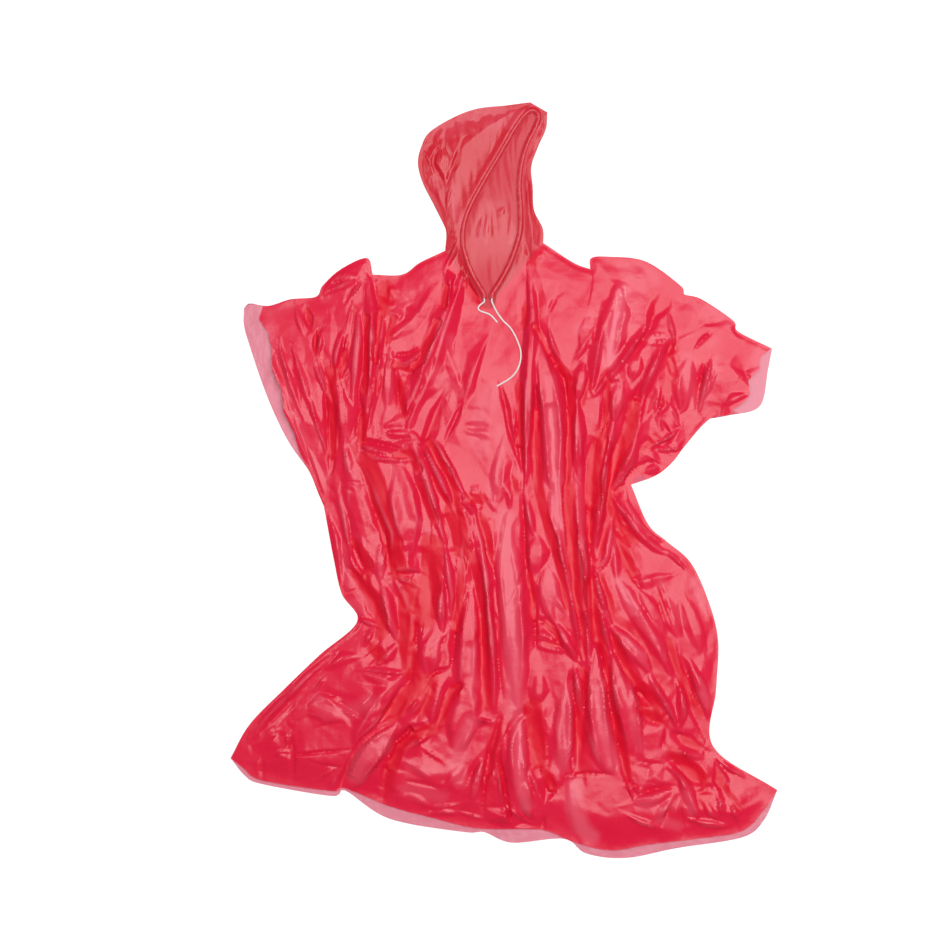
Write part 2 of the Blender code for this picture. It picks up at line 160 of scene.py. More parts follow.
SIDE_LEFT = marks(
    (-270, -39), (-255, -120), (-243, -171), (-220, -212), (-276, -262), (-328, -312), (-381, -366),
    (-410, -417))
SIDE_RIGHT = marks(
    (190, -6), (216, -66), (244, -92), (280, -124), (306, -180), (321, -240), (318, -315), (314, -400),
    (410, -465))

HEM_BACK = marks(
    (-410, -417), (-388, -444), (-363, -456), (-258, -474), (-238, -466), (-172, -508), (-60, -528),
    (-30, -528), (12, -544), (90, -538), (123, -560), (182, -567), (260, -552), (357, -536), (390, -510),
    (410, -465))
HEM_FRONT = marks(
    (-410, -417), (-390, -432), (-363, -450), (-258, -466), (-238, -462), (-171, -489), (-108, -506),
    (-39, -522), (54, -524), (106, -543), (159, -555), (219, -546), (294, -537), (357, -526), (387, -498),
    (410, -465))

SLEEVE_LEFT_TOP = marks(
    (-198, 308), (-207, 332), (-246, 315), (-273, 290), (-282, 274), (-321, 270), (-354, 260), (-381, 264),
    (-390, 258))
SLEEVE_LEFT_CUFF = marks(
    (-390, 258), (-390, 232), (-381, 200), (-363, 146), (-344, 99), (-321, 54), (-291, 12))
SLEEVE_LEFT_UNDER = marks((-270, -39), (-279, -18), (-291, 12))

SLEEVE_RIGHT_TOP = marks(
    (130, 316), (132, 332), (158, 334), (213, 327), (266, 290), (270, 278), (297, 270), (344, 238),
    (351, 222), (402, 196))
SLEEVE_RIGHT_CUFF = marks((402, 196), (396, 165), (386, 114), (357, 100), (336, 106), (314, 100))
SLEEVE_RIGHT_UNDER = marks((190, -6), (228, 8), (252, 27), (270, 50), (294, 78), (314, 100))

# How far the upper layer stops short of each cuff, in millimetres, at shares of the cuff.
LEFT_INSETS = [(0, 26), (0.07, 22), (0.14, 31), (0.25, 28), (0.36, 21), (0.47, 25), (0.6, 16), (0.72, 18),
               (0.86, 10), (1, 7)]
RIGHT_INSETS = [(0, 2), (0.12, 14), (0.22, 12), (0.34, 26), (0.45, 21), (0.6, 30), (0.72, 22), (0.85, 17),
                (1, 5)]

HOOD_BACK_SEAM = marks(
    (-88, 348), (-87, 378), (-100, 408), (-120, 444), (-129, 476), (-124, 502), (-111, 524), (-74, 546),
    (-39, 558), (2, 562), (40, 566))
HOOD_FRONT_FOLD = marks(
    (58, 360), (57, 381), (44, 408), (42, 442), (40, 472), (50, 501), (62, 528), (64, 552))
CASING_ROUTE = marks(
    (-30, 272), (-31, 280), (-50, 314), (-62, 356), (-56, 398), (-32, 446), (-6, 490), (18, 531), (34, 551),
    (46, 554), (52, 544), (46, 526), (36, 506), (27, 477), (23, 441), (25, 402), (23, 368), (10, 328),
    (-5, 299), (-17, 280), (-18, 272))
LEFT_END_ROUTE = marks(
    (-29.9, 271.7), (-29.7, 267), (-35, 263), (-39, 257.5), (-35, 253), (-21, 247.5), (-10, 236))
RIGHT_END_ROUTE = marks(
    (-18, 271.7), (-18.2, 267), (-11, 252), (-1, 238), (10, 227), (20, 208), (25, 190), (22, 170),
    (11, 154), (-11, 140))


# ------------------------------------------------------------------------- creases
Route = Sequence[tuple[float, float]]


class Crease(NamedTuple):
    """A crease of the film: a crest along plan points with a flank on each side.

    left and right are the flanks' widths, seen along the route, and crest is half the width
    of the level film between them. A height below zero makes a trough. lean is how far the
    crest hangs over to the right, and start and end are the height's shares at the two ends.
    All lengths are in millimetres.
    """

    route: Route
    height: float
    left: float
    right: float
    crest: float = 1.0
    start: float = 0.2
    end: float = 0.2
    lean: float = 0.0


def creases(*rows: tuple) -> list[Crease]:
    """Name the numbers of rows, each a crease: its route, its height, its flanks' widths and so on."""
    return [Crease(*row) for row in rows]


CHEST_LEFT = creases(
    ([(-207, 100), (-200, 150), (-197, 200), (-198, 260), (-204, 300)], 11, 9, 9, 2.5),
    ([(-203, 85), (-197, 112), (-190, 150), (-186, 205), (-180, 243)], 9, 5, 7, 1.2),
    ([(-150, 92), (-157, 130), (-163, 165)], -7, 6, 6),
    ([(-148, 96), (-128, 145), (-112, 188), (-97, 224), (-85, 258), (-80, 300)], 12, 15, 7, 2, 0.4, 0.5),
    ([(-143, 84), (-131, 112), (-116, 143), (-104, 170), (-95, 205), (-88, 228), (-76, 262), (-62, 303)],
     9, 7, 14, 1.5, 0.4, 0.5),
    ([(-60, 120), (-70, 150), (-74, 166), (-85, 192), (-88, 222)], 4, 9, 7),
    ([(-118, 140), (-98, 146), (-74, 162)], 2.5, 9, 9, 0.8),
    ([(-170, 262), (-178, 280), (-183, 300)], -7, 9, 9, 2),
    ([(-174, 208), (-150, 228), (-126, 252), (-106, 288)], 5, 8, 12),
    ([(-168, 170), (-150, 171), (-137, 178), (-126, 193)], 6, 6, 8, 1.2),
    ([(-166, 186), (-140, 188), (-122, 200)], -4, 4, 4, 0.5),
    ([(-250, 155), (-244, 185), (-233, 225), (-226, 262)], -5, 3, 4, 0.5),
    ([(-212, 40), (-213, 90), (-217, 135)], -8, 8, 6),
    ([(-38, 272), (-58, 305)], -6, 5, 10),
    ([(-62, 112), (-48, 158), (-30, 205)], 6, 12, 10, 1.5),
    ([(-88, 58), (-76, 85), (-62, 116)], -4, 4, 4, 0.5),
    ([(14, 55), (5, 100), (-6, 150)], -5, 4, 5, 0.5),
    ([(-176, 110), (-174, 150), (-170, 195)], 7, 4, 8, 4),
    ([(-128, 20), (-116, 62), (-100, 108), (-84, 140)], -6, 5, 9, 2),
    ([(-168, 232), (-160, 245), (-150, 262)], 4, 6, 6, 5),
)

WAIST_LEFT = creases(
    ([(-88, -95), (-98, -62), (-108, -28), (-117, 2), (-129, 40), (-142, 74)], 9, 10, 5, 3),
    ([(-73, -50), (-86, -20), (-101, 12), (-116, 42), (-139, 72)], 10, 7, 9, 1.2),
    ([(-62, -18), (-72, 2), (-84, 24), (-96, 48), (-110, 64)], 8, 9, 4, 2.5),
    ([(-44, -50), (-54, -36), (-62, -18)], 8, 8, 8),
    ([(-15, -335), (-14, -290), (-19, -240), (-24, -180), (-28, -140), (-33, -100), (-42, -58)],
     11, 12, 8, 2.2),
    ([(20, -330), (18, -260), (12, -190), (5, -130), (3, -90), (8, -52)], 13, 9, 12, 12),
    ([(-12, -35), (-8, 0), (-3, 50)], 6, 7, 12, 6),
    ([(-8, -20), (3, -13), (10, -22), (9, -45)], 4, 5, 6),
    ([(-26, -25), (-12, -45)], 3, 5, 5, 2),
    ([(-219, 53), (-190, 44), (-160, 36)], 5, 5, 5),
    ([(-215, 45), (-195, 33), (-160, 30), (-135, 30)], 5, 7, 5),
    ([(-222, 60), (-190, 55), (-150, 45)], -5, 4, 4),
    ([(-167, -120), (-167, -80), (-181, -48), (-196, -10), (-212, 22)], 9, 10, 12),
    ([(-140, -105), (-146, -60), (-152, -20), (-158, 22)], 9, 9, 8, 16),
    ([(-195, -130), (-200, -80), (-216, -30), (-230, 30)], 6, 12, 8, 16),
    ([(-174, -120), (-176, -85), (-195, -45), (-210, 0)], -7, 7, 7),
    ([(-167, -134), (-145, -132), (-122, -136)], 5, 5, 5),
    ([(-165, -144), (-142, -150), (-122, -164)], 6, 5, 6, 2),
    ([(-144, -195), (-152, -170), (-163, -150)], 6, 5, 6),
    ([(-232, -100), (-237, -60), (-249, -15)], 5, 6, 5),
    ([(-205, -160), (-212, -130), (-228, -90)], -6, 7, 7, 2),
    ([(-92, -228), (-94, -190), (-94, -140)], 7, 8, 4, 3),
    ([(-80, -202), (-78, -172), (-84, -135), (-88, -100)], 6, 4, 7, 1.5),
    ([(-66, -200), (-67, -150), (-64, -110), (-60, -90), (-63, -68)], 6, 6, 6),
    ([(-52, -118), (-55, -100), (-60, -80)], 5, 5, 5, 3),
    ([(-108, -205), (-110, -170), (-112, -115)], -8, 14, 12, 2),
    ([(-226, 0), (-232, 15), (-236, 35), (-240, 52)], 7, 4, 8, 3),
    ([(-236, -5), (-222, -8), (-212, -12)], 4, 4, 4),
    ([(-228, -112), (-235, -85), (-240, -55), (-252, -15)], 6, 4, 4),
    ([(-178, -74), (-192, -55), (-208, -32), (-218, -20)], 6, 4, 4),
    ([(-218, -88), (-220, -80), (-222, -72)], 4, 4, 4, 2),
    ([(-246, -160), (-252, -120), (-258, -80), (-265, -45)], 6, 4, 5, 6),
    ([(-205, -165), (-220, -145), (-238, -132)], -6, 6, 6, 3),
    ([(-185, -150), (-184, -120), (-182, -85)], 8, 6, 4, 4),
)

CHEST_RIGHT = creases(
    ([(33, 5), (34, 60), (35, 120), (39, 190), (43, 245), (40, 275), (38, 300)], 12, 8, 10, 3.5),
    ([(27, 15), (17, 45), (8, 75), (0, 110), (-8, 145)], -5, 4, 5, 0.5),
    ([(74, 0), (74, 60), (70, 110), (60, 160), (50, 205)], 13, 9, 12, 11, 0.7, 0.3),
    ([(99, -165), (92, -130), (86, -95), (83, -60), (80, -20), (77, 10)], 12, 10, 10, 4, 0.3, 0.8),
    ([(97, 70), (96, 125), (88, 155), (65, 195), (48, 240)], -8, 8, 8, 1.5),
    ([(83, 178), (72, 203), (66, 228)], 5, 6, 6),
    ([(66, 250), (76, 272)], -3, 6, 6),
    ([(116, 200), (121, 225), (128, 245)], 3, 8, 8, 5),
    ([(107, 180), (120, 203), (138, 229)], 5, 6, 6, 0.8),
    ([(124, 199), (142, 208)], 3, 4, 4),
    ([(128, 285), (132, 300)], -4, 6, 6, 2),
    ([(114, 0), (111, 40), (109, 80), (109, 120)], 10, 8, 8, 3),
    ([(109, 120), (114, 150), (118, 175)], 8, 5, 8, 5),
)

WAIST_RIGHT = creases(
    ([(44, -78), (38, -60), (33, -30)], 6, 6, 6, 1.5),
    ([(27, 15), (23, 50), (23, 120)], -8, 4, 5, 2),
    ([(52, -20), (50, 20), (48, 60), (47, 140)], -9, 7, 7, 3),
    ([(127, -275), (125, -240), (123, -190), (120, -140), (115, -100), (111, -50), (110, -15)],
     12, 9, 8, 4),
    ([(130, -190), (129, -100), (131, 0), (138, 60)], -8, 8, 8, 2),
    ([(131, -118), (137, -85), (143, -45), (148, -8), (154, 30), (165, 62)], 11, 10, 8, 2.5),
    ([(146, 20), (152, 45), (163, 85)], 8, 9, 6, 5),
    ([(152, -35), (160, 0), (168, 40), (184, 80)], -9, 8, 9, 2),
    ([(158, -18), (172, 0), (185, 28), (198, 60)], 9, 8, 8, 3.5),
    ([(160, -22), (175, -42), (192, -65), (216, -92), (245, -112)], 8, 7, 9, 2),
    ([(184, -28), (192, -50), (205, -72), (225, -88), (245, -93)], 6, 4, 4),
    ([(240, -103), (258, -118), (272, -134)], 5, 3, 4, 0.8),
    ([(141, -137), (153, -118), (158, -88), (163, -58)], 6, 7, 6, 1.5),
    ([(168, -155), (166, -110), (164, -72)], 5, 5, 5),
    ([(196, -154), (220, -148), (250, -143)], 4, 5, 9),
    ([(192, -190), (180, -168), (170, -150)], 6, 7, 7, 5),
    ([(152, -195), (140, -158), (132, -124)], 7, 7, 6),
    ([(47, -140), (46, -110), (48, -85)], 6, 9, 10, 9),
    ([(66, -200), (65, -160), (63, -130)], 6, 9, 10, 9),
    ([(8, -185), (20, -160), (31, -130)], -3, 3, 3, 0.3),
    ([(16, -195), (26, -178), (36, -158)], -3, 3, 3, 0.3),
    ([(36, -160), (32, -110), (30, -60), (27, -20)], -7, 5, 4),
    ([(185, -98), (178, -72), (168, -45)], -9, 8, 12, 6),
    ([(205, -165), (190, -135), (178, -108)], -6, 5, 6, 2),
)

LAP_LEFT = creases(
    ([(-172, -228), (-186, -205), (-198, -180), (-212, -160), (-228, -138)], -8, 9, 9, 2),
    ([(-157, -240), (-170, -212), (-175, -185), (-182, -158)], 9, 9, 9, 4),
    ([(-140, -250), (-136, -228), (-139, -200), (-141, -190)], 5, 6, 5, 0.8),
    ([(-142, -305), (-136, -270), (-134, -225), (-131, -180)], -9, 6, 8, 2),
    ([(-112, -290), (-108, -250), (-100, -222)], 6, 10, 9, 10),
    ([(-122, -256), (-103, -243), (-86, -228)], 4, 5, 6),
    ([(-98, -276), (-96, -250), (-90, -232)], -3, 3, 3, 0.5),
    ([(-79, -288), (-76, -250), (-70, -212), (-60, -175)], -7, 5, 5),
    ([(-58, -330), (-54, -280), (-53, -230), (-46, -165)], 9, 9, 10, 10, 0.8, 0.1),
    ([(-25, -342), (-29, -300), (-31, -240), (-33, -160)], -9, 7, 7, 2.5),
    ([(-3, -328), (-8, -285), (-13, -225), (-18, -160)], -5, 3, 4, 0.5),
    ([(-12, -238), (-2, -208)], -3, 3, 3, 0.3),
    ([(-211, -283), (-180, -286), (-150, -289)], 5, 4, 5),
    ([(-208, -288), (-178, -300), (-150, -305)], 4, 5, 9, 3),
    ([(-209, -250), (-200, -232), (-194, -217)], 4, 6, 4),
    ([(-192, -275), (-190, -258), (-186, -242)], -5, 7, 8, 2),
    ([(-190, -276), (-174, -260), (-158, -245)], 5, 6, 7, 1.5),
    ([(-262, -280), (-240, -266), (-215, -263)], 4, 7, 8, 2),
    ([(-262, -324), (-238, -338), (-204, -358)], -4, 3, 4, 0.5),
    ([(-185, -352), (-160, -342), (-148, -322)], -8, 10, 10, 5),
    ([(-143, -350), (-134, -338), (-122, -328)], 5, 8, 6, 4),
    ([(-125, -350), (-112, -325), (-105, -300)], -7, 6, 7, 1.5),
    ([(-116, -302), (-104, -287), (-84, -282)], -5, 4, 5),
    ([(-105, -372), (-102, -345), (-92, -312)], 6, 8, 7, 3),
    ([(-104, -378), (-92, -345), (-80, -318), (-62, -302)], -8, 8, 7, 2),
    ([(-150, -403), (-128, -388), (-105, -376)], 7, 7, 6, 1.5),
    ([(-160, -395), (-140, -378), (-112, -368)], -8, 7, 8, 3),
    ([(-20, -405), (-12, -380), (-6, -352)], -6, 5, 5),
    ([(-222, -207), (-195, -216), (-182, -222)], 4, 4, 4),
    ([(-243, -171), (-230, -167), (-217, -163)], -3, 3, 3),
)

LAP_RIGHT = creases(
    ([(-2, -388), (12, -366), (28, -347), (42, -329)], -5, 5, 4),
    ([(47, -252), (46, -215), (42, -170), (36, -130)], -8, 4, 5, 1.5),
    ([(76, -214), (66, -190), (58, -165)], 4, 6, 6, 2),
    ([(93, -200), (82, -182), (72, -162)], 4, 6, 6, 1.5),
    ([(50, -206), (66, -214), (80, -226)], -5, 6, 6, 2),
    ([(48, -236), (60, -232), (70, -233)], 4, 6, 5, 3),
    ([(108, -266), (94, -242), (80, -217)], 9, 8, 5, 2.5),
    ([(118, -272), (112, -245), (105, -200), (98, -155)], 8, 5, 7, 1.2),
    ([(158, -330), (152, -280), (141, -230), (130, -170), (127, -120)], -9, 7, 9, 3),
    ([(157, -252), (147, -215), (133, -168)], 8, 6, 6, 2),
    ([(159, -217), (149, -188), (136, -155)], 8, 4, 6, 1.2),
    ([(218, -285), (200, -260), (180, -240), (160, -218)], 10, 10, 9, 5),
    ([(232, -350), (207, -315), (190, -292), (172, -260), (158, -228)], -9, 7, 8, 3),
    ([(190, -400), (180, -350), (170, -300), (162, -262)], 11, 8, 10, 9),
    ([(176, -402), (166, -365), (158, -330), (154, -270)], -8, 6, 6, 2),
    ([(146, -402), (140, -350), (136, -300), (137, -255)], 10, 10, 8, 10, 0.8, 0.1),
    ([(118, -370), (118, -330), (122, -290), (112, -275)], -7, 6, 6, 2),
    ([(116, -360), (112, -320), (107, -285)], 8, 6, 6, 2.5),
    ([(108, -345), (101, -310), (99, -285)], -7, 5, 4),
    ([(90, -402), (92, -360), (93, -305)], 10, 10, 7, 7, 0.8, 0.1),
    ([(48, -247), (70, -251), (92, -256)], 4, 5, 7),
    ([(50, -335), (53, -310), (52, -288)], 4, 6, 9, 5),
    ([(52, -405), (46, -370), (43, -335)], -9, 8, 12, 4),
    ([(22, -405), (22, -385), (24, -362)], 6, 8, 6, 6),
    ([(250, -290), (232, -250), (211, -214), (190, -185), (170, -152)], 9, 9, 10, 3),
    ([(252, -355), (232, -320), (215, -290)], 7, 6, 6, 1.5),
    ([(196, -322), (206, -340), (230, -351)], 6, 6, 7, 2),
    ([(204, -338), (218, -356), (240, -366)], -7, 5, 7, 2),
    ([(262, -372), (268, -345), (266, -318), (258, -295)], 7, 5, 6, 2),
    ([(305, -390), (292, -350), (282, -320), (272, -290), (262, -262)], -8, 8, 9, 4),
    ([(308, -355), (300, -330), (290, -305), (278, -270)], 8, 7, 6, 4),
    ([(240, -232), (222, -196), (205, -168)], 5, 8, 7, 5),
    ([(262, -235), (248, -205), (236, -172)], 4, 7, 8, 6),
    ([(252, -215), (240, -180), (232, -155)], -4, 5, 5),
    ([(300, -260), (285, -215), (268, -175)], 4, 8, 8, 6),
)

FLARE_LEFT = creases(
    ([(-385, -395), (-358, -358), (-325, -325), (-295, -295), (-262, -265)], 6, 6, 9, 2),
    ([(-365, -385), (-335, -345), (-305, -315), (-285, -295)], -4, 6, 10, 2),
    ([(-284, -317), (-277, -306), (-269, -296)], 4, 5, 4, 0.5),
    ([(-294, -345), (-270, -340), (-240, -356)], 6, 8, 10, 14),
    ([(-266, -328), (-245, -341), (-222, -354)], 4, 2, 4, 0.5),
    ([(-345, -409), (-310, -411), (-275, -407), (-245, -405), (-225, -402)], -3, 3, 3, 0.5),
    ([(-316, -445), (-315, -415), (-317, -395), (-322, -380), (-317, -363)], -5, 4, 4, 0.8),
    ([(-324, -402), (-323, -388), (-320, -372)], 4, 3, 3, 0.8),
    ([(-362, -446), (-362, -430), (-361, -412)], -3, 5, 3, 0.5),
    ([(-290, -422), (-265, -427), (-245, -430)], -2, 3, 3, 0.5),
    ([(-262, -470), (-256, -455), (-246, -432)], 4, 5, 4),
    ([(-278, -450), (-265, -438), (-255, -432)], 3, 4, 4),
    ([(-350, -395), (-345, -382), (-339, -370)], 4, 4, 4),
    ([(-338, -418), (-332, -406), (-326, -402)], 3, 3, 3),
    ([(-218, -382), (-200, -360), (-178, -325), (-155, -300)], 11, 18, 5, 8, 0.4, 0.3),
    ([(-222, -446), (-206, -420), (-188, -395), (-165, -370)], 12, 5, 6, 12, 0.7, 0.3),
    ([(-245, -462), (-235, -430), (-222, -402), (-210, -385)], -7, 4, 4, 1, 0.8),
    ([(-182, -472), (-175, -432), (-160, -396), (-140, -374), (-115, -366)], -9, 8, 10, 4),
)

HEM_MIDDLE = creases(
    ([(-70, -402), (-62, -365), (-54, -325)], 9, 12, 9, 14, 0.3, 0.8),
    ([(-68, -402), (-60, -392), (-56, -378)], 11, 4, 4),
    ([(-45, -355), (-30, -360), (-18, -362)], 10, 3, 5),
    ([(-33, -490), (-28, -450), (-22, -410), (-14, -385), (-7, -352)], -8, 5, 6, 2),
    ([(12, -515), (3, -480), (-2, -445), (-9, -415), (-4, -390)], -8, 4, 4, 1.5),
    ([(0, -490), (-5, -460), (-10, -430), (-12, -415)], 6, 4, 4),
    ([(-25, -456), (-18, -442), (-13, -430)], 4, 5, 4),
    ([(20, -470), (22, -430), (18, -395), (24, -362)], 12, 9, 8, 8),
    ([(38, -502), (34, -470), (27, -440)], 9, 8, 6, 4),
    ([(62, -440), (52, -410), (46, -380), (42, -345)], -10, 8, 12, 7),
    ([(62, -478), (70, -458), (66, -438)], -7, 8, 8, 5),
    ([(98, -442), (88, -410), (84, -370), (84, -330)], 9, 9, 7, 5),
    ([(-143, -424), (-128, -430), (-112, -446)], 4, 5, 6),
    ([(-85, -455), (-72, -440), (-60, -425)], 4, 6, 6, 3),
    ([(-62, -468), (-52, -445), (-38, -416)], -5, 4, 4),
    ([(-48, -480), (-42, -455), (-32, -420)], 6, 5, 5, 3),
    ([(-108, -492), (-92, -488), (-76, -486)], 4, 4, 4),
    ([(-150, -450), (-120, -455), (-95, -462)], -3, 4, 4, 0.8),
    ([(-148, -470), (-130, -476), (-112, -490)], 3, 5, 5, 2),
    ([(-118, -402), (-104, -412), (-94, -418)], 3, 5, 5, 2),
    ([(-112, -502), (-90, -496), (-70, -500)], 3, 4, 4),
    ([(-62, -498), (-45, -503), (-32, -508)], 3, 4, 4),
    ([(2, -520), (0, -505), (0, -490)], 7, 5, 5, 3),
    ([(34, -512), (25, -503), (15, -496)], 4, 4, 4),
    ([(56, -538), (57, -520), (60, -503)], -6, 4, 4, 1, 0.7),
    ([(50, -470), (45, -450), (38, -436)], 5, 4, 4),
    ([(16, -518), (30, -516), (44, -518)], -5, 4, 4),
)

HEM_RIGHT = creases(
    ([(88, -442), (96, -412), (99, -390), (98, -350), (96, -310)], 9, 9, 5, 2),
    ([(112, -430), (112, -395), (112, -350), (108, -310)], -8, 8, 8, 4),
    ([(158, -430), (148, -395), (140, -350), (142, -305)], 12, 10, 6, 10, 0.5, 0.8),
    ([(150, -436), (138, -410), (126, -380), (121, -360)], 7, 6, 5),
    ([(185, -455), (178, -420), (168, -380), (162, -345), (158, -300)], -9, 4, 9, 2, 0.6),
    ([(92, -441), (125, -438), (165, -441)], -4, 3, 3, 0.5),
    ([(205, -405), (198, -360), (190, -320), (184, -290)], 10, 9, 5, 4),
    ([(232, -360), (212, -340), (202, -315), (192, -290)], -10, 6, 10, 4),
    ([(225, -350), (215, -340), (208, -325)], 6, 5, 5, 2),
    ([(260, -374), (250, -350), (236, -325), (222, -300)], 9, 4, 6, 1.2),
    ([(252, -378), (272, -388), (300, -402)], -8, 4, 9, 3),
    ([(245, -402), (265, -408), (300, -415)], 6, 4, 4, 1.5),
    ([(255, -418), (275, -435), (300, -455)], -9, 9, 10, 7),
    ([(332, -470), (324, -450), (318, -430)], -8, 6, 8, 4),
    ([(290, -505), (278, -475), (266, -445), (245, -428)], 8, 6, 8, 2),
    ([(195, -478), (186, -462), (181, -452)], 5, 4, 4),
    ([(184, -453), (196, -462), (210, -468)], 5, 4, 4),
    ([(200, -470), (230, -462), (255, -458)], -5, 5, 5),
    ([(192, -482), (225, -476), (250, -464)], 6, 6, 6, 4),
    ([(236, -518), (246, -495), (262, -470)], -6, 4, 4),
    ([(268, -522), (265, -500), (262, -478)], -5, 3, 3),
    ([(228, -508), (240, -492), (252, -478)], 6, 5, 5, 2),
    ([(182, -500), (205, -512), (235, -522)], 5, 4, 4, 1.5),
    ([(278, -508), (300, -514), (335, -519)], 5, 4, 4, 1.5),
    ([(352, -515), (345, -495), (338, -480)], 5, 4, 4),
    ([(318, -415), (340, -432), (362, -445)], 6, 5, 5, 1.2),
    ([(300, -478), (310, -500), (322, -508)], 4, 5, 5, 2),
    ([(320, -470), (324, -485), (328, -498)], 5, 5, 5, 3),
    ([(236, -402), (240, -385), (242, -372)], -4, 3, 4),
    ([(196, -420), (220, -424), (242, -426)], -3, 3, 3, 0.8),
    ([(215, -450), (224, -440), (236, -452)], 4, 4, 4),
    ([(118, -545), (112, -510), (102, -470), (98, -450)], 4, 6, 8, 6),
    ([(285, -470), (300, -466), (316, -468)], -4, 4, 4),
)

SLEEVE_LEFT_FILM = creases(
    ([(-322, 105), (-345, 165), (-365, 222)], 4, 5, 5),
    ([(-300, 90), (-322, 150), (-335, 195), (-338, 215)], 5, 5, 6, 1.2),
    ([(-290, 110), (-305, 160), (-318, 205)], 5, 5, 6),
    ([(-310, 60), (-328, 105), (-342, 140)], 3, 4, 4, 0.8),
    ([(-295, 30), (-312, 75), (-330, 120)], 4, 5, 5),
    ([(-325, 140), (-335, 165), (-343, 195)], -6, 4, 5, 2),
    ([(-252, 100), (-265, 130), (-278, 160), (-284, 175)], 6, 4, 3, 0.8),
    ([(-262, 140), (-272, 158), (-276, 172)], 5, 3, 3, 0.8),
    ([(-258, 10), (-256, 60), (-258, 100), (-262, 135), (-268, 158)], -10, 7, 7, 4),
    ([(-290, 225), (-293, 245), (-297, 262)], -7, 4, 5, 3),
    ([(-281, 185), (-283, 205), (-282, 222)], -6, 3, 4, 1.5),
    ([(-280, 185), (-276, 205), (-272, 225)], 5, 4, 4, 1.5),
    ([(-251, 158), (-252, 180), (-248, 205), (-243, 222)], 6, 4, 8, 2),
    ([(-244, 178), (-236, 205), (-231, 240), (-228, 258)], 6, 5, 4, 0.8),
    ([(-246, 150), (-242, 170), (-236, 192)], -7, 4, 5, 2),
    ([(-226, 130), (-222, 170), (-218, 215), (-218, 250)], 8, 6, 6, 3),
    ([(-262, 298), (-240, 305), (-215, 305)], 4, 4, 4, 1.5),
    ([(-262, 283), (-240, 292), (-215, 303)], 5, 5, 5, 1.2),
    ([(-232, 272), (-222, 288), (-213, 298)], 6, 6, 4, 2),
    ([(-240, 262), (-228, 285), (-214, 300)], -4, 4, 4),
    ([(-264, 38), (-272, 60), (-284, 88)], 5, 3, 4, 0.8),
    ([(-272, 60), (-284, 95), (-292, 128)], 4, 3, 4, 0.8),
    ([(-268, -25), (-278, 5), (-290, 40)], 4, 4, 5),
    ([(-238, 60), (-240, 100), (-246, 140)], 6, 8, 8, 5),
    ([(-300, 215), (-308, 240), (-312, 262)], 4, 4, 6, 1.5),
    ([(-262, 190), (-264, 220), (-262, 250)], 3, 8, 8, 5),
)

SLEEVE_RIGHT_FILM = creases(
    ([(131, 130), (134, 160), (142, 200), (149, 245), (152, 265)], 9, 8, 6, 1.2),
    ([(156, 170), (162, 205), (167, 245), (172, 290)], 10, 8, 10, 10, 0.1, 0.3),
    ([(134, 126), (150, 147), (166, 161), (186, 187), (212, 228)], 9, 9, 8, 1.3),
    ([(160, 155), (185, 180), (205, 208), (225, 235), (232, 245)], -6, 3, 5),
    ([(150, 40), (153, 95), (156, 148)], -7, 6, 7, 2),
    ([(182, 60), (190, 100), (201, 130), (212, 150)], -9, 9, 9, 3),
    ([(216, 225), (228, 250), (238, 280)], -6, 7, 7, 2),
    ([(202, 122), (210, 145), (222, 175)], 5, 5, 5),
    ([(232, 245), (240, 262), (250, 282)], -7, 6, 6, 3),
    ([(216, 218), (230, 217), (246, 218)], 3, 3, 3, 0.8),
    ([(215, 208), (230, 207), (245, 208)], 3, 3, 3, 0.8),
    ([(216, 199), (228, 200), (240, 203)], 3, 3, 3, 0.8),
    ([(254, 200), (254, 215), (249, 232), (246, 250)], 6, 4, 5),
    ([(240, 180), (250, 198), (254, 212)], -7, 6, 4, 2),
    ([(203, 124), (214, 150), (226, 175), (238, 200)], 8, 6, 5, 2),
    ([(165, 90), (168, 120), (175, 148)], 7, 6, 7, 6),
    ([(158, 151), (172, 150), (186, 146)], 4, 4, 4, 0.8),
    ([(228, 95), (234, 110), (236, 130)], -5, 4, 4),
    ([(268, 105), (268, 130), (272, 160), (278, 180)], 7, 12, 8, 8),
    ([(292, 102), (298, 125), (302, 145), (310, 178)], 8, 4, 3, 1.5),
    ([(305, 130), (312, 150), (318, 165)], 6, 3, 3),
    ([(288, 105), (292, 140), (300, 175)], -6, 4, 3),
    ([(284, 195), (298, 210), (313, 224)], -4, 3, 3, 0.5),
    ([(228, 95), (238, 110), (248, 110)], 4, 3, 3),
    ([(262, 80), (256, 98), (248, 110)], 4, 3, 3),
    ([(230, 90), (245, 75), (252, 65)], -3, 3, 3, 0.8),
    ([(212, 12), (225, 16), (238, 20)], 5, 4, 4, 3),
    ([(178, -2), (192, 12), (207, 24), (225, 28)], -6, 3, 4),
    ([(222, 52), (240, 60), (252, 68), (262, 78)], 4, 3, 3, 0.8),
    ([(222, 46), (240, 54), (256, 64)], -4, 3, 3),
    ([(232, 44), (250, 46), (268, 47)], 4, 3, 3),
    ([(208, 90), (216, 120), (228, 148)], -5, 6, 7, 3),
    ([(256, 150), (250, 175), (246, 190)], -4, 6, 6, 3),
    ([(193, 303), (205, 306), (218, 304)], 3, 3, 3),
    ([(168, 296), (180, 292), (188, 288)], 3, 3, 3),
    ([(300, 232), (320, 236), (342, 246)], -3, 3, 3),
    ([(354, 150), (362, 163), (368, 150), (378, 122)], -5, 3, 4, 0.8),
    ([(330, 112), (345, 122), (362, 128)], 4, 5, 5, 2),
    ([(200, 190), (196, 170), (190, 150)], 4, 6, 8, 6),
    ([(262, 210), (275, 215), (290, 222)], 3, 4, 4),
)

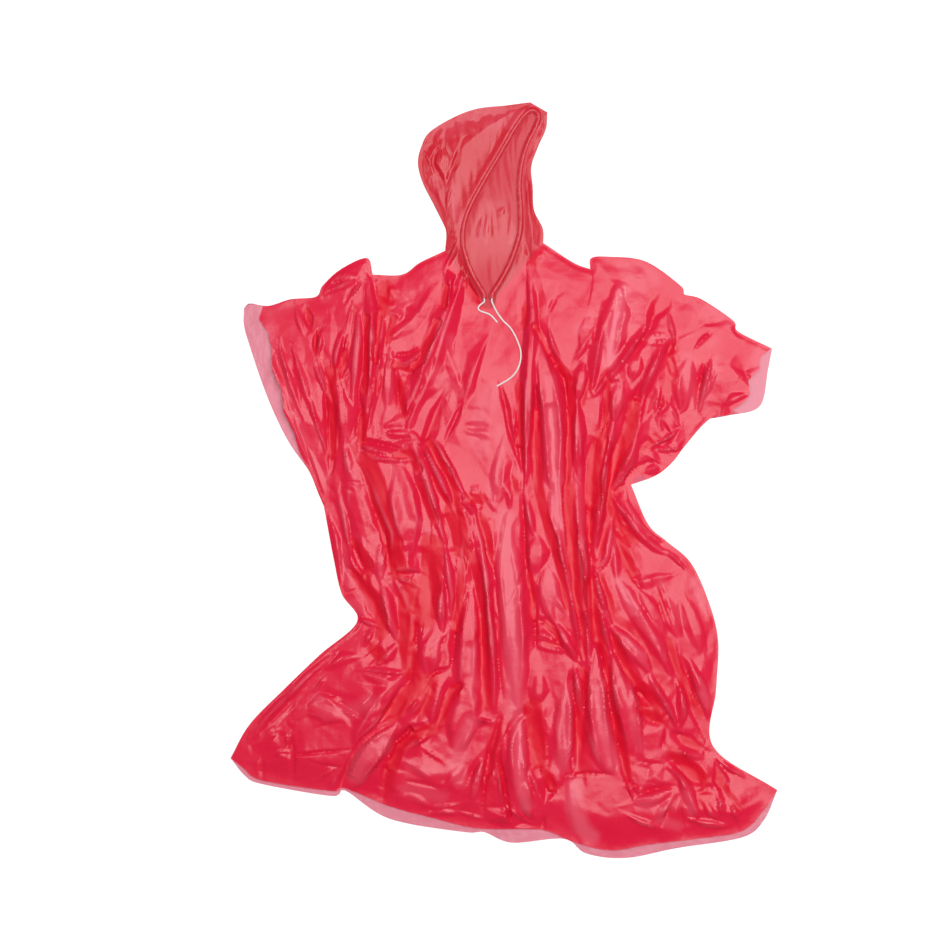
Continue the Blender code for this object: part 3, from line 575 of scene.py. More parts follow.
HOOD_FILM = creases(
    ([(-87, 438), (-95, 455), (-108, 475), (-100, 497)], -4, 4, 4, 1.5),
    ([(-87, 438), (-80, 460), (-68, 490), (-62, 512)], -4, 4, 5),
    ([(-86, 405), (-84, 425), (-78, 445)], 3, 3, 3),
    ([(-88, 318), (-76, 340), (-66, 362), (-52, 392)], 5, 4, 4),
    ([(-78, 365), (-68, 372), (-60, 378)], 3, 3, 3, 0.8),
    ([(-60, 376), (-45, 405), (-30, 435), (-15, 470), (0, 498), (12, 520)], -4, 3, 3),
    ([(-30, 412), (-22, 440), (-18, 460)], -3, 3, 3),
    ([(-60, 300), (-56, 330), (-54, 358)], -5, 4, 4),
    ([(-40, 300), (-48, 322), (-52, 345)], 4, 3, 3),
    ([(38, 478), (42, 488), (46, 500)], -4, 3, 3),
    ([(44, 520), (52, 540), (58, 548)], 5, 4, 4, 2),
    ([(48, 535), (56, 530), (62, 540)], -3, 3, 3),
    ([(30, 430), (32, 450), (34, 462)], 3, 3, 3, 2),
    ([(40, 400), (36, 430), (30, 400)], 3, 3, 3),
    ([(-122, 500), (-112, 478), (-106, 458)], 3, 4, 4),
    ([(-62, 545), (-40, 520), (-36, 500)], 2, 5, 5),
    ([(-20, 552), (-14, 520), (-20, 492)], 2, 5, 5),
)

LENS_FILM = creases(
    ([(-40, 352), (-38, 365), (-32, 392)], 2, 3, 3),
    ([(-26, 340), (-28, 370), (-24, 396)], 2.5, 4, 4, 1.5),
    ([(-12, 320), (-13, 350), (-10, 392)], -2, 2, 2, 0.5),
    ([(-20, 300), (-20, 325), (-16, 350)], 2, 3, 3),
    ([(2, 330), (8, 350), (14, 372)], 2.5, 3, 3, 1.5),
    ([(-8, 395), (-3, 402), (0, 410)], 2, 3, 3),
    ([(-34, 318), (-36, 335), (-34, 350)], 2, 3, 3),
    ([(-4, 300), (0, 320), (6, 338)], 2, 3, 3),
)


class Patch(NamedTuple):
    """An oval patch of small wrinkles; turn is their long side's angle from +Y in degrees."""

    across: float
    up: float
    half_width: float
    half_height: float
    wrinkle: float
    height: float
    turn: float


PATCHES = [
    Patch(-152, 58, 26, 24, 8, 2.2, 80),
    Patch(-180, 66, 30, 16, 9, 1.8, 75),
    Patch(-40, 82, 26, 26, 9, 2.0, 85),
    Patch(-175, 190, 14, 12, 6, 1.2, 88),
    Patch(-140, 268, 34, 26, 9, 1.6, 40),
    Patch(-212, -125, 20, 34, 9, 2.6, 15),
    Patch(-225, -8, 18, 10, 7, 1.8, 80),
    Patch(-250, -340, 50, 28, 12, 1.6, 60),
    Patch(-110, -455, 58, 48, 15, 2.2, 78),
    Patch(18, -504, 34, 18, 8, 2.4, 55),
    Patch(225, -440, 34, 40, 11, 2.2, 70),
    Patch(232, 40, 34, 26, 9, 2.4, 65),
    Patch(230, 206, 20, 16, 7, 1.2, 88),
    Patch(238, 90, 26, 24, 10, 1.8, 30),
    Patch(52, 545, 16, 22, 8, 2.0, 30),
    Patch(-90, 470, 26, 40, 12, 1.6, 20),
    Patch(-330, -395, 24, 26, 10, 1.8, 10),
    Patch(300, -500, 46, 20, 10, 2.0, 60),
    Patch(150, 350, 60, 40, 12, 0.8, 60),
]


class Stroke(NamedTuple):
    """A stretch along plan points where painted shade or painted sheen lies on the film, with its half
    width.

    Above zero the film stands away from the light there and has painted shade; below zero it has a painted
    sheen.
    """

    route: Route
    half_width: float
    depth: float = 1.0


def strokes(*rows: tuple) -> list[Stroke]:
    """Name the numbers of rows, each a stroke: its route, its half width and its depth."""
    return [Stroke(*row) for row in rows]


# strokes of painted shade, where the film also tilts away from the light: route, half width and depth
SHADE_STROKES = strokes(
    ([(44, 520), (34, 484), (32, 440), (33, 405)], 5, 0.7),
    ([(31, 398), (35, 370), (42, 345), (46, 326)], 6, 0.8),
    ([(-66, 350), (-52, 318), (-42, 296)], 4, 0.6),
    ([(-106, 436), (-98, 412), (-92, 392)], 6, 0.6),
    ([(-294, 256), (-291, 238)], 4, 0.8),
    ([(-283, 222), (-280, 208), (-282, 192)], 4, 0.6),
    ([(-236, 188), (-250, 160), (-257, 140)], 5, 0.9),
    ([(-259, 165), (-258, 120), (-257, 80), (-257, 40)], 8),
    ([(-205, 242), (-206, 200), (-207, 160), (-209, 132)], 5),
    ([(-210, 92), (-212, 72), (-213, 56)], 7, 0.9),
    ([(-180, 290), (-181, 272), (-180, 255)], 10, 0.9),
    ([(-165, 240), (-170, 225), (-173, 212)], 7, 0.8),
    ([(-188, 245), (-190, 210), (-191, 178)], 4, 0.9),
    ([(-187, 165), (-189, 140), (-190, 128)], 3, 0.9),
    ([(-163, 172), (-141, 165), (-124, 178), (-115, 205), (-100, 235)], 6),
    ([(-92, 258), (-90, 275), (-86, 290)], 5, 0.9),
    ([(-153, 146), (-152, 120), (-149, 96)], 5),
    ([(-56, 292), (-48, 280), (-42, 272)], 8, 0.8),
    ([(-14, 296), (-20, 280), (-24, 270)], 5, 0.8),
    ([(31, 258), (32, 245), (30, 233)], 5, 0.9),
    ([(45, 230), (54, 212), (66, 190)], 4, 0.9),
    ([(80, 172), (93, 158), (103, 150)], 5, 0.9),
    ([(99, 150), (100, 97), (97, 37), (96, -12)], 6),
    ([(96, -12), (97, -60), (102, -105), (108, -150), (114, -190)], 10),
    ([(114, -190), (117, -225), (119, -262)], 5, 0.9),
    ([(22, 140), (24, 100), (25, 55)], 5),
    ([(46, 97), (48, 50), (50, 10), (55, -30), (63, -62), (74, -100)], 7),
    ([(74, -100), (86, -140), (94, -188)], 5),
    ([(155, 150), (154, 100), (146, 62)], 5),
    ([(145, 62), (136, 30), (134, 0), (132, -35)], 12),
    ([(131, -35), (128, -65), (127, -92)], 5, 0.9),
    ([(118, 112), (122, 130), (127, 150)], 3, 0.8),
    ([(196, 110), (190, 78), (178, 48), (164, 20)], 11),
    ([(164, 20), (156, -10), (158, -38), (172, -64), (196, -92)], 7),
    ([(172, -85), (182, -110), (190, -138)], 9, 0.9),
    ([(146, -108), (151, -75), (158, -50)], 4, 0.9),
    ([(144, -142), (154, -170), (163, -200)], 5, 0.9),
    ([(165, -22), (176, -10)], 4, 0.7),
    ([(208, 46), (222, 58)], 5, 0.8),
    ([(254, 205), (252, 180), (248, 150), (240, 120)], 7, 0.45),
    ([(-204, 30), (-196, 8), (-187, -24), (-177, -60), (-170, -95), (-165, -120)], 13),
    ([(-160, 38), (-144, 42), (-137, 30), (-128, 15)], 6, 0.9),
    ([(-113, 57), (-100, 35), (-86, 10), (-73, -20), (-62, -60)], 6),
    ([(-78, -45), (-68, -75), (-62, -105)], 14),
    ([(-125, -5), (-116, -30), (-104, -60)], 6, 0.9),
    ([(-106, 2), (-97, -16), (-86, -32)], 3, 0.9),
    ([(-50, -28), (-34, -28)], 9, 0.9),
    ([(-33, -58), (-25, -85), (-20, -112)], 7),
    ([(15, -2), (20, -18)], 5, 0.8),
    ([(-226, -92), (-212, -108), (-202, -122), (-203, -140)], 6, 0.9),
    ([(-222, -140), (-206, -160), (-190, -180), (-184, -205), (-185, -230)], 9),
    ([(-196, -252), (-186, -262)], 10, 0.9),
    ([(-163, -95), (-160, -120), (-158, -140)], 12),
    ([(-108, -98), (-108, -130), (-112, -170), (-118, -205)], 17),
    ([(-140, -160), (-146, -200), (-146, -240), (-138, -285)], 14),
    ([(-118, -302), (-140, -318), (-158, -338), (-170, -350)], 13),
    ([(-104, -296), (-112, -318), (-124, -345)], 8, 0.9),
    ([(-70, -308), (-84, -330), (-94, -360), (-104, -374)], 7),
    ([(-104, -372), (-132, -380), (-155, -400), (-168, -425)], 9),
    ([(-170, -430), (-176, -465)], 12, 0.5),
    ([(-60, -112), (-66, -160), (-70, -200), (-71, -222)], 7),
    ([(-48, -112), (-38, -150), (-33, -200), (-30, -250), (-27, -300), (-26, -338)], 7),
    ([(-21, -90), (-20, -125)], 5, 0.8),
    ([(38, -142), (42, -170), (42, -205)], 5, 0.9),
    ([(62, -216), (76, -228), (84, -244), (64, -245)], 5, 0.9),
    ([(42, -338), (47, -365), (50, -400), (52, -420)], 13),
    ([(52, -425), (62, -440), (72, -460)], 7, 0.9),
    ([(-10, -365), (-14, -400), (-6, -440)], 8, 0.5),
    ([(-18, -450), (-24, -485)], 10, 0.4),
    ([(115, -280), (122, -300), (125, -318)], 4, 0.9),
    ([(108, -318), (111, -345)], 3, 0.8),
    ([(114, -355), (117, -400), (120, -436)], 13, 0.45),
    ([(130, -152), (132, -190), (136, -225), (143, -240)], 8),
    ([(144, -240), (152, -265), (155, -312)], 5),
    ([(164, -236), (176, -262), (188, -288), (198, -303), (214, -312)], 7),
    ([(214, -312), (224, -330), (234, -355)], 7),
    ([(206, -343), (222, -354), (236, -362)], 8, 0.9),
    ([(246, -242), (254, -268), (268, -300), (282, -332), (292, -352)], 6),
    ([(270, -390), (282, -396), (294, -402)], 4, 0.8),
    ([(252, -406), (266, -420), (284, -432), (302, -450)], 8),
    ([(292, -452), (300, -488)], 11, 0.4),
    ([(321, -440), (326, -455), (335, -468), (354, -490)], 6, 0.7),
    ([(165, -355), (176, -390), (186, -445)], 6, 0.7),
    ([(165, -205), (190, -222), (215, -250), (230, -285), (240, -310)], 8, 0.45),
    ([(230, -175), (240, -205)], 6, 0.5),
    ([(24, 487), (20, 465), (16, 452)], 4, 0.6),
    ([(8, 440), (8, 425)], 6, 0.5),
    ([(55, 345), (40, 330)], 6, 0.5),
)

# strokes of painted sheen: route, half width and depth below zero
SHEEN_STROKES = strokes(
    ([(-350, 250), (-345, 200), (-330, 150), (-315, 100), (-295, 50), (-270, 0)], 8, -0.4),
    ([(-346, 250), (-318, 262)], 10, -0.3),
    ([(-282, 80), (-274, 55)], 4, -0.4),
    ([(-160, 255), (-148, 270), (-142, 282)], 7, -0.3),
    ([(-174, 190), (-172, 140), (-177, 100)], 5, -0.3),
    ([(-104, 160), (-90, 140), (-75, 132)], 13, -0.4),
    ([(-80, 210), (-76, 185), (-74, 160)], 6, -0.4),
    ([(-18, 135), (-30, 105), (-40, 75), (-34, 45)], 14, -0.5),
    ([(-8, 75), (-4, 45), (-14, 0), (-20, -30)], 8, -0.5),
    ([(66, 150), (68, 120)], 10, -0.4),
    ([(70, 105), (73, 60), (75, 10), (78, -30), (82, -70)], 9, -0.8),
    ([(108, 0), (112, -40), (116, -100)], 4, -0.5),
    ([(2, -55), (2, -85), (4, -115), (9, -160), (10, -220), (14, -270), (15, -320), (18, -350)], 13, -0.7),
    ([(20, -365), (22, -390), (22, -420), (25, -450), (34, -488)], 8, -0.8),
    ([(-168, 20), (-160, -10), (-150, -50)], 7, -0.4),
    ([(-150, -58), (-125, -65), (-112, -75)], 6, -0.4),
    ([(-232, 30), (-224, 5), (-216, -12)], 5, -0.4),
    ([(112, 225), (126, 232), (128, 245)], 7, -0.6),
    ([(182, 285), (172, 262), (166, 235), (160, 205), (156, 178)], 10, -1.0),
    ([(200, 310), (190, 270), (178, 230)], 18, -0.4),
    ([(178, 318), (205, 315), (225, 300)], 10, -0.5),
    ([(170, 140), (172, 120)], 6, -0.4),
    ([(222, 210), (240, 215)], 7, -0.4),
    ([(285, 255), (310, 252), (335, 240)], 12, -0.4),
    ([(276, 180), (274, 150), (288, 110)], 11, -0.4),
    ([(316, 180), (314, 155), (300, 130), (296, 112)], 6, -0.6),
    ([(300, 200), (316, 208)], 6, -0.4),
    ([(385, 190), (378, 165), (375, 150)], 10, -0.6),
    ([(70, -140), (72, -170), (80, -195)], 8, -0.5),
    ([(170, -150), (180, -170), (194, -195)], 7, -0.9),
    ([(200, -205), (215, -225), (228, -245)], 5, -0.4),
    ([(182, -240), (198, -256), (208, -262)], 7, -0.6),
    ([(232, -152), (245, -165), (255, -190), (266, -210)], 8, -0.4),
    ([(94, -310), (88, -350), (90, -390), (84, -430)], 8, -0.5),
    ([(138, -310), (142, -350), (152, -390), (164, -425)], 11, -0.6),
    ([(172, -300), (184, -330), (194, -370), (202, -400)], 7, -0.4),
    ([(205, -485), (235, -492), (258, -482)], 8, -0.5),
    ([(230, -510), (260, -518)], 6, -0.5),
    ([(274, -470), (280, -495)], 5, -0.6),
    ([(104, -460), (106, -490), (116, -520), (130, -535)], 12, -0.8),
    ([(285, -150), (290, -175), (300, -195)], 7, -0.7),
    ([(296, -320), (306, -335)], 8, -0.5),
    ([(-280, -330), (-260, -345), (-225, -345), (-200, -330)], 10, -0.4),
    ([(-222, -440), (-215, -420), (-195, -400), (-180, -395)], 14, -0.5),
    ([(-140, -425), (-115, -435), (-95, -435)], 8, -0.4),
    ([(-145, -462), (-120, -470), (-95, -475)], 11, -0.4),
    ([(-50, -360), (-62, -390), (-72, -425), (-66, -448)], 11, -0.6),
    ([(-52, -250), (-48, -290), (-44, -305)], 7, -0.4),
    ([(-186, -115), (-184, -145)], 4, -0.5),
    ([(-243, -100), (-240, -130), (-232, -160)], 5, -0.5),
    ([(-225, -185), (-215, -195)], 6, -0.5),
    ([(-90, 528), (-60, 545), (-20, 545), (20, 540)], 18, -0.35),
    ([(-78, 440), (-75, 410), (-68, 390)], 8, -0.35),
    ([(38, 396), (46, 372), (50, 352)], 3, -0.3),
    ([(15, 365), (8, 345), (2, 330)], 6, -0.4),
)


# ---------------------------------------------------------------- geometry helpers
def smoothstep(share: np.ndarray) -> np.ndarray:
    """Rise from 0 to 1 with level ends."""
    share = np.clip(share, 0.0, 1.0)
    return share * share * (3.0 - 2.0 * share)


def cord_level(share: np.ndarray) -> np.ndarray:
    """Height of the cord at shares of its channel: it lies lower inside than at its mouths."""
    return CORD.level - CORD.sunk * smoothstep(np.minimum(share, 1.0 - share) * CORD.sinking)


class Line:
    """A line in plan, read by its share of length."""

    def __init__(self, points: np.ndarray) -> None:
        """Measure the line through the points, which are rows of two coordinates."""
        self.points = points
        self.reach = np.concatenate(([0.0], np.cumsum(np.linalg.norm(np.diff(points, axis=0), axis=1))))

    @classmethod
    def through(cls, marks: Sequence[Mark], detail: int = 12) -> "Line":
        """Thread a Catmull-Rom curve through marks.

        Args:
            marks: The points, in millimetres.
            detail: How many steps lie between two marks.

        Returns:
            The curve as a line.
        """
        points = np.array([(mark[0] * MM, mark[1] * MM) for mark in marks])
        padded = np.vstack((2 * points[0] - points[1], points, 2 * points[-1] - points[-2]))
        share = (np.arange(1, detail + 1) / detail)[:, None]
        threaded = [points[:1]]
        for before, start, end, after in zip(padded, padded[1:], padded[2:], padded[3:]):
            threaded.append(0.5 * (
                2 * start + (end - before) * share
                + (2 * before - 5 * start + 4 * end - after) * share ** 2
                + (3 * start - before - 3 * end + after) * share ** 3))
        return cls(np.vstack(threaded))

    @property
    def length(self) -> float:
        """The line's length."""
        return float(self.reach[-1])

    def at(self, shares: np.ndarray) -> np.ndarray:
        """The points at shares of the length."""
        wanted = np.clip(shares, 0.0, 1.0) * self.length
        return np.stack([np.interp(wanted, self.reach, self.points[:, axis]) for axis in (0, 1)], axis=-1)

    def right_hand(self, shares: np.ndarray, span: float = 0.01) -> np.ndarray:
        """Unit steps to the right of the line's direction.

        Args:
            shares: Shares of the length.
            span: How far to each side of a share the direction is read.

        Returns:
            Rows of two coordinates.
        """
        along = self.at(shares + span) - self.at(shares - span)
        along /= np.linalg.norm(along, axis=1)[:, None]
        return np.column_stack((along[:, 1], -along[:, 0]))

    def between(self, low: float, high: float, count: int = 120) -> "Line":
        """The stretch from one share to another as a line of its own."""
        return Line(self.at(np.linspace(low, high, count)))

    def beside(self, distance: float, count: int = 240) -> "Line":
        """A line a steady distance to the left of this one's direction."""
        shares = np.linspace(0.0, 1.0, count)
        return Line(self.at(shares) - self.right_hand(shares) * distance)


class JoinedLine:
    """Stretches end to end, each with its own number of cells, so that corners stay sharp."""

    def __init__(self, *stretches: tuple[Line, int]) -> None:
        """Keep the stretches with their numbers of cells."""
        self.stretches = stretches
        self.cells = sum(cells for _, cells in stretches)

    def at(self, shares: np.ndarray) -> np.ndarray:
        """The points at shares of the number of cells.

        Args:
            shares: From 0 at the first stretch's start to 1 at the last one's end.

        Returns:
            Rows of two coordinates.
        """
        steps = np.clip(shares, 0.0, 1.0) * self.cells
        points = np.zeros((*np.shape(steps), 2))
        first = 0.0
        for line, cells in self.stretches:
            inside = (steps >= first) & (steps <= first + cells)
            points[inside] = line.at((steps[inside] - first) / cells)
            first += cells
        return points


Edge = Line | JoinedLine


class Panel:
    """A panel in plan, blended between its four edges.

    u runs from the left edge to the right edge, and v from the top edge to the bottom edge.
    """

    def __init__(self, top: Edge, bottom: Edge, left: Edge, right: Edge) -> None:
        """Keep the four edges, which meet at the panel's corners."""
        self.top, self.bottom, self.left, self.right = top, bottom, left, right

    def at(self, u: np.ndarray, v: np.ndarray) -> np.ndarray:
        """Plan points in metres.

        Args:
            u: Shares from the left edge to the right edge.
            v: Shares from the top edge to the bottom edge.

        Returns:
            Rows of two coordinates.
        """
        across, down = u[:, None], v[:, None]
        zero, one = np.zeros(1), np.ones(1)
        blended = self.top.at(u) * (1 - down) + self.bottom.at(u) * down
        blended += self.left.at(v) * (1 - across) + self.right.at(v) * across
        corners = (self.left.at(zero) * (1 - across) + self.right.at(zero) * across) * (1 - down)
        corners += (self.left.at(one) * (1 - across) + self.right.at(one) * across) * down
        return blended - corners


# ------------------------------------------------------------------ crumpled film
class Crumple:
    """Height of film that has been crushed and smoothed out: flat triangles between random corners."""

    CORNERS = 64   # corners along each side of the pattern, which then repeats
    SWAY = 0.35    # how far the rows of corners sway, in cells
    SHIVER = 0.1   # the same for their finer sway

    def __init__(self, cell: float, height: float, stretch: float, turn: float, seed: int) -> None:
        """Lay out the corners.

        Args:
            cell: Width of a facet in metres.
            height: Height of the highest corners in metres.
            stretch: How much longer than wide a facet is.
            turn: Angle of the facets' long side from +Y, in radians.
            seed: Picks the corners' heights.
        """
        self.cell, self.height, self.stretch, self.turn = cell, height, stretch, turn
        draw = np.random.default_rng(seed)
        self.corners = draw.uniform(-1.0, 1.0, (self.CORNERS, self.CORNERS))
        self.diagonals = draw.random((self.CORNERS, self.CORNERS)) < 0.5
        self.waves = draw.uniform(0.0, 2 * math.pi, (4, 2))

    def at(self, points: np.ndarray) -> np.ndarray:
        """Heights over plan points.

        Args:
            points: Plan points in metres.

        Returns:
            Heights in metres, above and below zero.
        """
        cosine, sine = math.cos(self.turn), math.sin(self.turn)
        x = (points[:, 0] * cosine + points[:, 1] * sine) / self.cell
        y = (points[:, 1] * cosine - points[:, 0] * sine) / (self.cell * self.stretch)
        slow, quick = self.waves[0], self.waves[1]
        x, y = (
            x + self.SWAY * np.sin(1.7 * y + slow[0]) + self.SHIVER * np.sin(3.9 * y + 2.3 * x + quick[0]),
            y + self.SWAY * np.sin(1.3 * x + slow[1]) + self.SHIVER * np.sin(3.1 * x - 1.9 * y + quick[1]))
        column, row = np.floor(x).astype(int), np.floor(y).astype(int)
        a, b = x - column, y - row
        column, row = column % self.CORNERS, row % self.CORNERS
        right, above = (column + 1) % self.CORNERS, (row + 1) % self.CORNERS
        near, far_x = self.corners[row, column], self.corners[row, right]
        far_y, far = self.corners[above, column], self.corners[above, right]
        falling = np.where(
            a + b < 1.0,
            near + a * (far_x - near) + b * (far_y - near),
            far + (1 - a) * (far_y - far) + (1 - b) * (far_x - far))
        rising = np.where(
            a > b,
            near + a * (far_x - near) + b * (far - far_x),
            near + b * (far_y - near) + a * (far - far_y))
        return self.height * np.where(self.diagonals[row, column], rising, falling)


class Folds(NamedTuple):
    """What creases do at plan points: heights and shifts in metres, and shares of painted shade and painted
    highlight.
    """

    height: np.ndarray
    shift: np.ndarray
    painted_shade: np.ndarray
    painted_highlight: np.ndarray


SWELL_SHARES = (0.0, 0.35, 0.65, 1.0)  # where a crease starts, is full, is still full, and ends
LEAST_SWELL = 0.02
LEAST_FLANK = 0.35                     # a flank's width where its crease has died out


def swell_of(crease: Crease, share: np.ndarray) -> np.ndarray:
    """How full a crease is at shares of its length."""
    swell = np.interp(share, SWELL_SHARES, (crease.start, 1.0, 1.0, crease.end))
    return np.maximum(swell, LEAST_SWELL)


def flank_share(swell: np.ndarray) -> np.ndarray:
    """How much of a flank's full width is left where its crease is as full as swell says."""
    return LEAST_FLANK + (1.0 - LEAST_FLANK) * swell


class Reading(NamedTuple):
    """Points measured from a route: their distance, side, share of its length, and its right hand."""

    distance: np.ndarray
    side: np.ndarray
    share: np.ndarray
    right: np.ndarray


def measure(route: Route, points: np.ndarray) -> Reading:
    """Measure plan points from a route, both in millimetres.

    Args:
        route: The route's points.
        points: Rows of two coordinates.

    Returns:
        What is read at each point from the nearest stretch of the route.
    """
    marks = np.array(route, dtype=float)
    reach = np.concatenate(([0.0], np.cumsum(np.linalg.norm(np.diff(marks, axis=0), axis=1))))
    nearest = np.full(len(points), np.inf)
    side = np.zeros(len(points))
    share = np.zeros(len(points))
    across = np.zeros((len(points), 2))
    for index, (start, end) in enumerate(zip(marks, marks[1:])):
        line = end - start
        length = np.linalg.norm(line)
        along = line / length
        offset = points - start
        part = np.clip(offset @ along / length, 0.0, 1.0)
        distance = np.linalg.norm(offset - part[:, None] * line, axis=1)
        closer = distance < nearest
        nearest = np.where(closer, distance, nearest)
        right = np.array((along[1], -along[0]))
        side = np.where(closer, offset @ right, side)
        share = np.where(closer, (reach[index] + part * length) / reach[-1], share)
        across = np.where(closer[:, None], right, across)
    return Reading(nearest, side, share, across)


def within(route: Route, reach: float, plan: np.ndarray) -> np.ndarray:
    """Which plan points lie in the route's box, widened by reach; all in millimetres."""
    marks = np.array(route)
    return np.all((plan > marks.min(axis=0) - reach) & (plan < marks.max(axis=0) + reach), axis=1)


class CreaseField:
    """All creases of one surface, read together over plan points."""

    SHARPNESS = 5.0     # how closely the highest crease wins over the others
    CREST_ROUND = 0.06  # share of a flank over which its crest is round
    FLANK_CURVE = 1.25  # above 1, a flank is hollow and runs out softly at its foot
    LINE_WIDTH = 1.5    # half width of the painted highlight along a crest, in millimetres
    FULL_HEIGHT = 9.0   # height from which a crest's painted highlight and a trough's painted shade are full, in millimetres

    def __init__(self, creases: Sequence[Crease]) -> None:
        """Keep the creases."""
        self.creases = creases

    def one(self, crease: Crease, points: np.ndarray) -> tuple[np.ndarray, np.ndarray, np.ndarray]:
        """One crease over plan points.

        Args:
            crease: The crease.
            points: Plan points in millimetres.

        Returns:
            Its rise in millimetres, its sideways direction as rows of two, and how near its
            crest's edge each point is, from 0 to 1.
        """
        found = measure(crease.route, points)
        swell = swell_of(crease, found.share)
        width = np.where(found.side < 0, crease.left, crease.right) * flank_share(swell)
        beyond = found.distance - crease.crest * swell
        away = np.maximum(beyond, 0.0) / width
        away = np.sqrt(away ** 2 + self.CREST_ROUND ** 2) - self.CREST_ROUND
        rise = crease.height * swell * np.clip(1.0 - away, 0.0, 1.0) ** self.FLANK_CURVE
        line = swell * np.exp(-(beyond / self.LINE_WIDTH) ** 2)
        return rise, found.right, line

    def at(self, points: np.ndarray) -> Folds:
        """All creases over plan points.

        Args:
            points: Plan points in metres.

        Returns:
            What the creases do there.
        """
        total = np.zeros(len(points))
        sunk = np.zeros(len(points))
        painted_highlight = np.zeros(len(points))
        painted_shade = np.zeros(len(points))
        shift = np.zeros((len(points), 2))
        plan = points / MM
        for crease in self.creases:
            near = within(crease.route, max(crease.left, crease.right) + crease.crest, plan)
            if not near.any():
                continue
            rise, across, line = self.one(crease, plan[near])
            # a trough gets painted shade by its depth; a crest gets a painted highlight along its edge
            if crease.height < 0:
                sunk[near] += (-rise) ** self.SHARPNESS
                painted_shade[near] = np.maximum(painted_shade[near], np.minimum(-rise / self.FULL_HEIGHT, 1.0))
            else:
                total[near] += rise ** self.SHARPNESS
                painted_highlight[near] = np.maximum(painted_highlight[near], line * min(crease.height / self.FULL_HEIGHT, 1.0))
            if crease.lean:
                shift[near] += across * (crease.lean * rise / crease.height)[:, None]
        high = total ** (1 / self.SHARPNESS)
        low = sunk ** (1 / self.SHARPNESS)
        painted_highlight *= np.clip(1.0 - low / self.FULL_HEIGHT, 0.0, 1.0)
        return Folds((high - low) * MM, shift * MM, painted_shade, painted_highlight)


